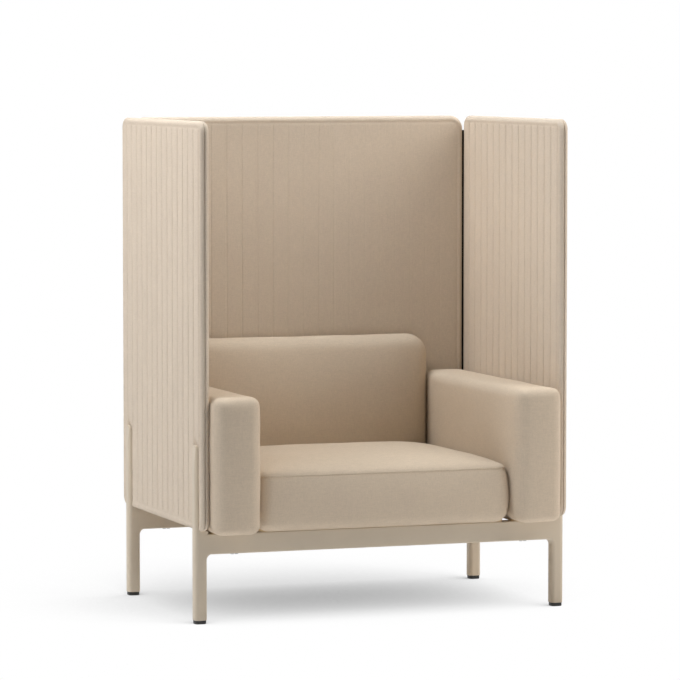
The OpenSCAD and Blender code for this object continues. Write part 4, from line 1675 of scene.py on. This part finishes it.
@dataclass(frozen=True)
class SoftBox:
    """A square area lamp.

    Args:
        name: Name of the lamp.
        place: Where it stands.
        size: Side of its square.
        power: Its power in watts.
        colour: Its colour.
        target: What it points at.
    """

    name: str
    place: Point
    size: float
    power: float
    colour: Colour
    target: Point = (0.0, 0.0, 0.7)

    def build(self) -> None:
        """Adds the lamp to the scene."""
        data = bpy.data.lights.new(self.name, "AREA")
        data.shape = "SQUARE"
        data.size = self.size
        data.energy = self.power
        data.color = self.colour
        lamp = bpy.data.objects.new(self.name, data)
        lamp.location = self.place
        way = Vector(self.target) - Vector(self.place)
        lamp.rotation_euler = way.to_track_quat("-Z", "Y").to_euler()
        lamp.visible_camera = False
        bpy.context.scene.collection.objects.link(lamp)


@dataclass
class Studio:
    """Floor, backdrop, soft lamps and the camera of the photograph.

    Args:
        camera_place: Place of the camera.
        camera_turn: How far it is turned to the right, in degrees.
        camera_pitch: How far it looks down, in degrees.
        lens: Its focal length in millimetres.
        sensor: Width of its sensor in millimetres.
        view_end: The furthest that it sees.
        painted_shadow_lean: Direction in which the hemisphere leans over which the floor's painted shadow is
            reckoned.
        painted_shadow_reach: The furthest that the chair darkens the floor in the painted shadow.
        shade_base: Brightness of the painted shadow where the chair hides all of that hemisphere.
        shade_slope: How fast the painted shadow grows brighter as that hemisphere opens.
        floor_half: Half width of the floor.
        floor_near: Distance from the middle at which the painted shadow begins to fade.
        floor_far: Distance at which it is gone.
        lamps: The lamps.
    """

    camera_place: Point = (-3.8138, -10.4758, 1.5410)
    camera_turn: float = 19.9496
    camera_pitch: float = 4.1214
    lens: float = 210.574
    sensor: float = 36.0
    view_end: float = 200.0
    painted_shadow_lean: Point = (0.157, -0.392, 0.906)
    painted_shadow_reach: float = 2.0
    shade_base: float = 0.21
    shade_slope: float = 1.1
    floor_half: float = 60.0
    floor_near: float = 1.5
    floor_far: float = 2.6
    lamps: tuple[SoftBox, ...] = (
        SoftBox("left_near", (-2.4, 0.0, 2.6), 1.4, 30.0, (1.0, 0.95, 0.92)),
        SoftBox("high_left", (-3.2, 0.2, 4.4), 2.2, 56.0, (0.92, 0.94, 1.0)),
        SoftBox("over_left", (-1.6, -0.2, 5.0), 2.0, 100.0, (0.81, 0.90, 1.0)),
        SoftBox("over", (0.0, -0.2, 6.5), 2.4, 78.0, (0.86, 0.93, 1.0)),
        SoftBox("right_near", (2.1, -1.3, 2.9), 2.4, 66.0, (1.0, 0.96, 0.93)),
        SoftBox("right_behind", (3.0, 2.4, 2.6), 2.4, 135.0, (0.99, 0.98, 1.0)),
        SoftBox("right_front", (2.4, -2.4, 1.5), 1.8, 6.0, (1.0, 0.95, 0.9)),
        SoftBox("top_behind", (0.0, 2.8, 4.2), 3.0, 32.0, (1.0, 0.97, 0.93)),
        SoftBox("left_behind", (-3.0, 2.4, 2.6), 2.4, 14.0, (0.92, 0.95, 1.0)),
    )

    def build(self) -> None:
        """Builds the studio."""
        self.floor()
        self.world()
        for lamp in self.lamps:
            lamp.build()
        self.camera()
        bpy.context.scene.view_settings.view_transform = "Standard"

    def seen_directly(self, n: Nodes) -> Socket:
        """Tells the rays that see the pale studio, from the camera, by gloss or through glass.

        Args:
            n: The node tree that needs it.

        Returns:
            1 for these rays and 0 for the others.
        """
        path = n.add("LightPath").outputs
        some = n.math("MAXIMUM", path["Is Camera Ray"], path["Is Glossy Ray"])
        return n.math("MAXIMUM", some, path["Is Transmission Ray"])

    def floor(self) -> None:
        """A wide pale floor that shows the chair's soft shadow and fades to white round it, as seen.

        The light sees a plain diffuse floor. The camera sees a painted shadow: an emission of strength
        shade_base + shade_slope * openness. Openness is the share of a hemisphere, leaned to the front
        right, that the chair leaves open by ambient occlusion. It is not lamp light.
        """
        corners = np.array([[-1, -1, 0], [1, -1, 0], [1, 1, 0], [-1, 1, 0]]) * self.floor_half
        sheet = PadMesh(corners, np.array([[0, 1, 2, 3]]), np.zeros((0, 3), int))
        floor = new_piece("floor", sheet, smooth=False)
        n = Nodes.of_material("pale_floor")
        diffuse = n.add("BsdfDiffuse", {"Color": (0.9, 0.9, 0.9, 1.0)})
        # Painted shadow: ambient occlusion darkens the emission that the camera sees on the floor under the
        # chair.
        lean = n.add("CombineXYZ", dict(enumerate(self.painted_shadow_lean))).outputs[0]
        painted_shadow_occlusion = n.add("AmbientOcclusion", {"Distance": self.painted_shadow_reach, "Normal": lean}, samples=16)
        level = n.math("MULTIPLY_ADD", painted_shadow_occlusion.outputs["AO"], self.shade_slope, self.shade_base)
        shaded = n.add("Emission", {"Color": WHITE, "Strength": n.math("MINIMUM", level, 1.0)})
        plain = n.add("Emission", {"Color": WHITE, "Strength": 1.0})
        distance = n.add("VectorMath", {0: n.place()}, operation="LENGTH").outputs[1]
        range_ends = {0: distance, 1: self.floor_near, 2: self.floor_far}
        away = n.add("MapRange", range_ends, interpolation_type="SMOOTHSTEP").outputs[0]
        shown = n.add("MixShader", {0: away, 1: shaded.outputs[0], 2: plain.outputs[0]})
        seen = n.add("MixShader", {0: self.seen_directly(n), 1: diffuse.outputs[0], 2: shown.outputs[0]})
        floor.data.materials.append(n.finish(seen))

    def world(self) -> None:
        """White all round where the camera sees it, with no light of its own."""
        n = Nodes(bpy.data.worlds.new("studio"))
        white = n.add("Background", {"Color": WHITE, "Strength": self.seen_directly(n)})
        bpy.context.scene.world = n.finish(white)

    def camera(self) -> None:
        """The photograph's camera: far away, a little above the chair and looking down."""
        data = bpy.data.cameras.new("camera")
        data.lens = self.lens
        data.sensor_width = self.sensor
        data.clip_end = self.view_end
        camera = bpy.data.objects.new("camera", data)
        camera.location = self.camera_place
        pitch, turn = math.radians(90 - self.camera_pitch), -math.radians(self.camera_turn)
        camera.rotation_euler = Euler((pitch, 0.0, turn), "XYZ")
        bpy.context.scene.collection.objects.link(camera)
        bpy.context.scene.camera = camera


def main() -> None:
    """Builds the chair's looks and its studio."""
    logging.basicConfig(level=logging.INFO, format="%(message)s")
    for part in (AcousticPanels(), Upholstery(), CornerStrips(), LegFittings()):
        for piece in part.build():
            LOG.info("%s: %d faces", piece.name, len(piece.data.polygons))
    LOG.info("%d CAD nodes dressed", CarriedNodes().dress())
    Studio().build()


if __name__ == "__main__":
    main()
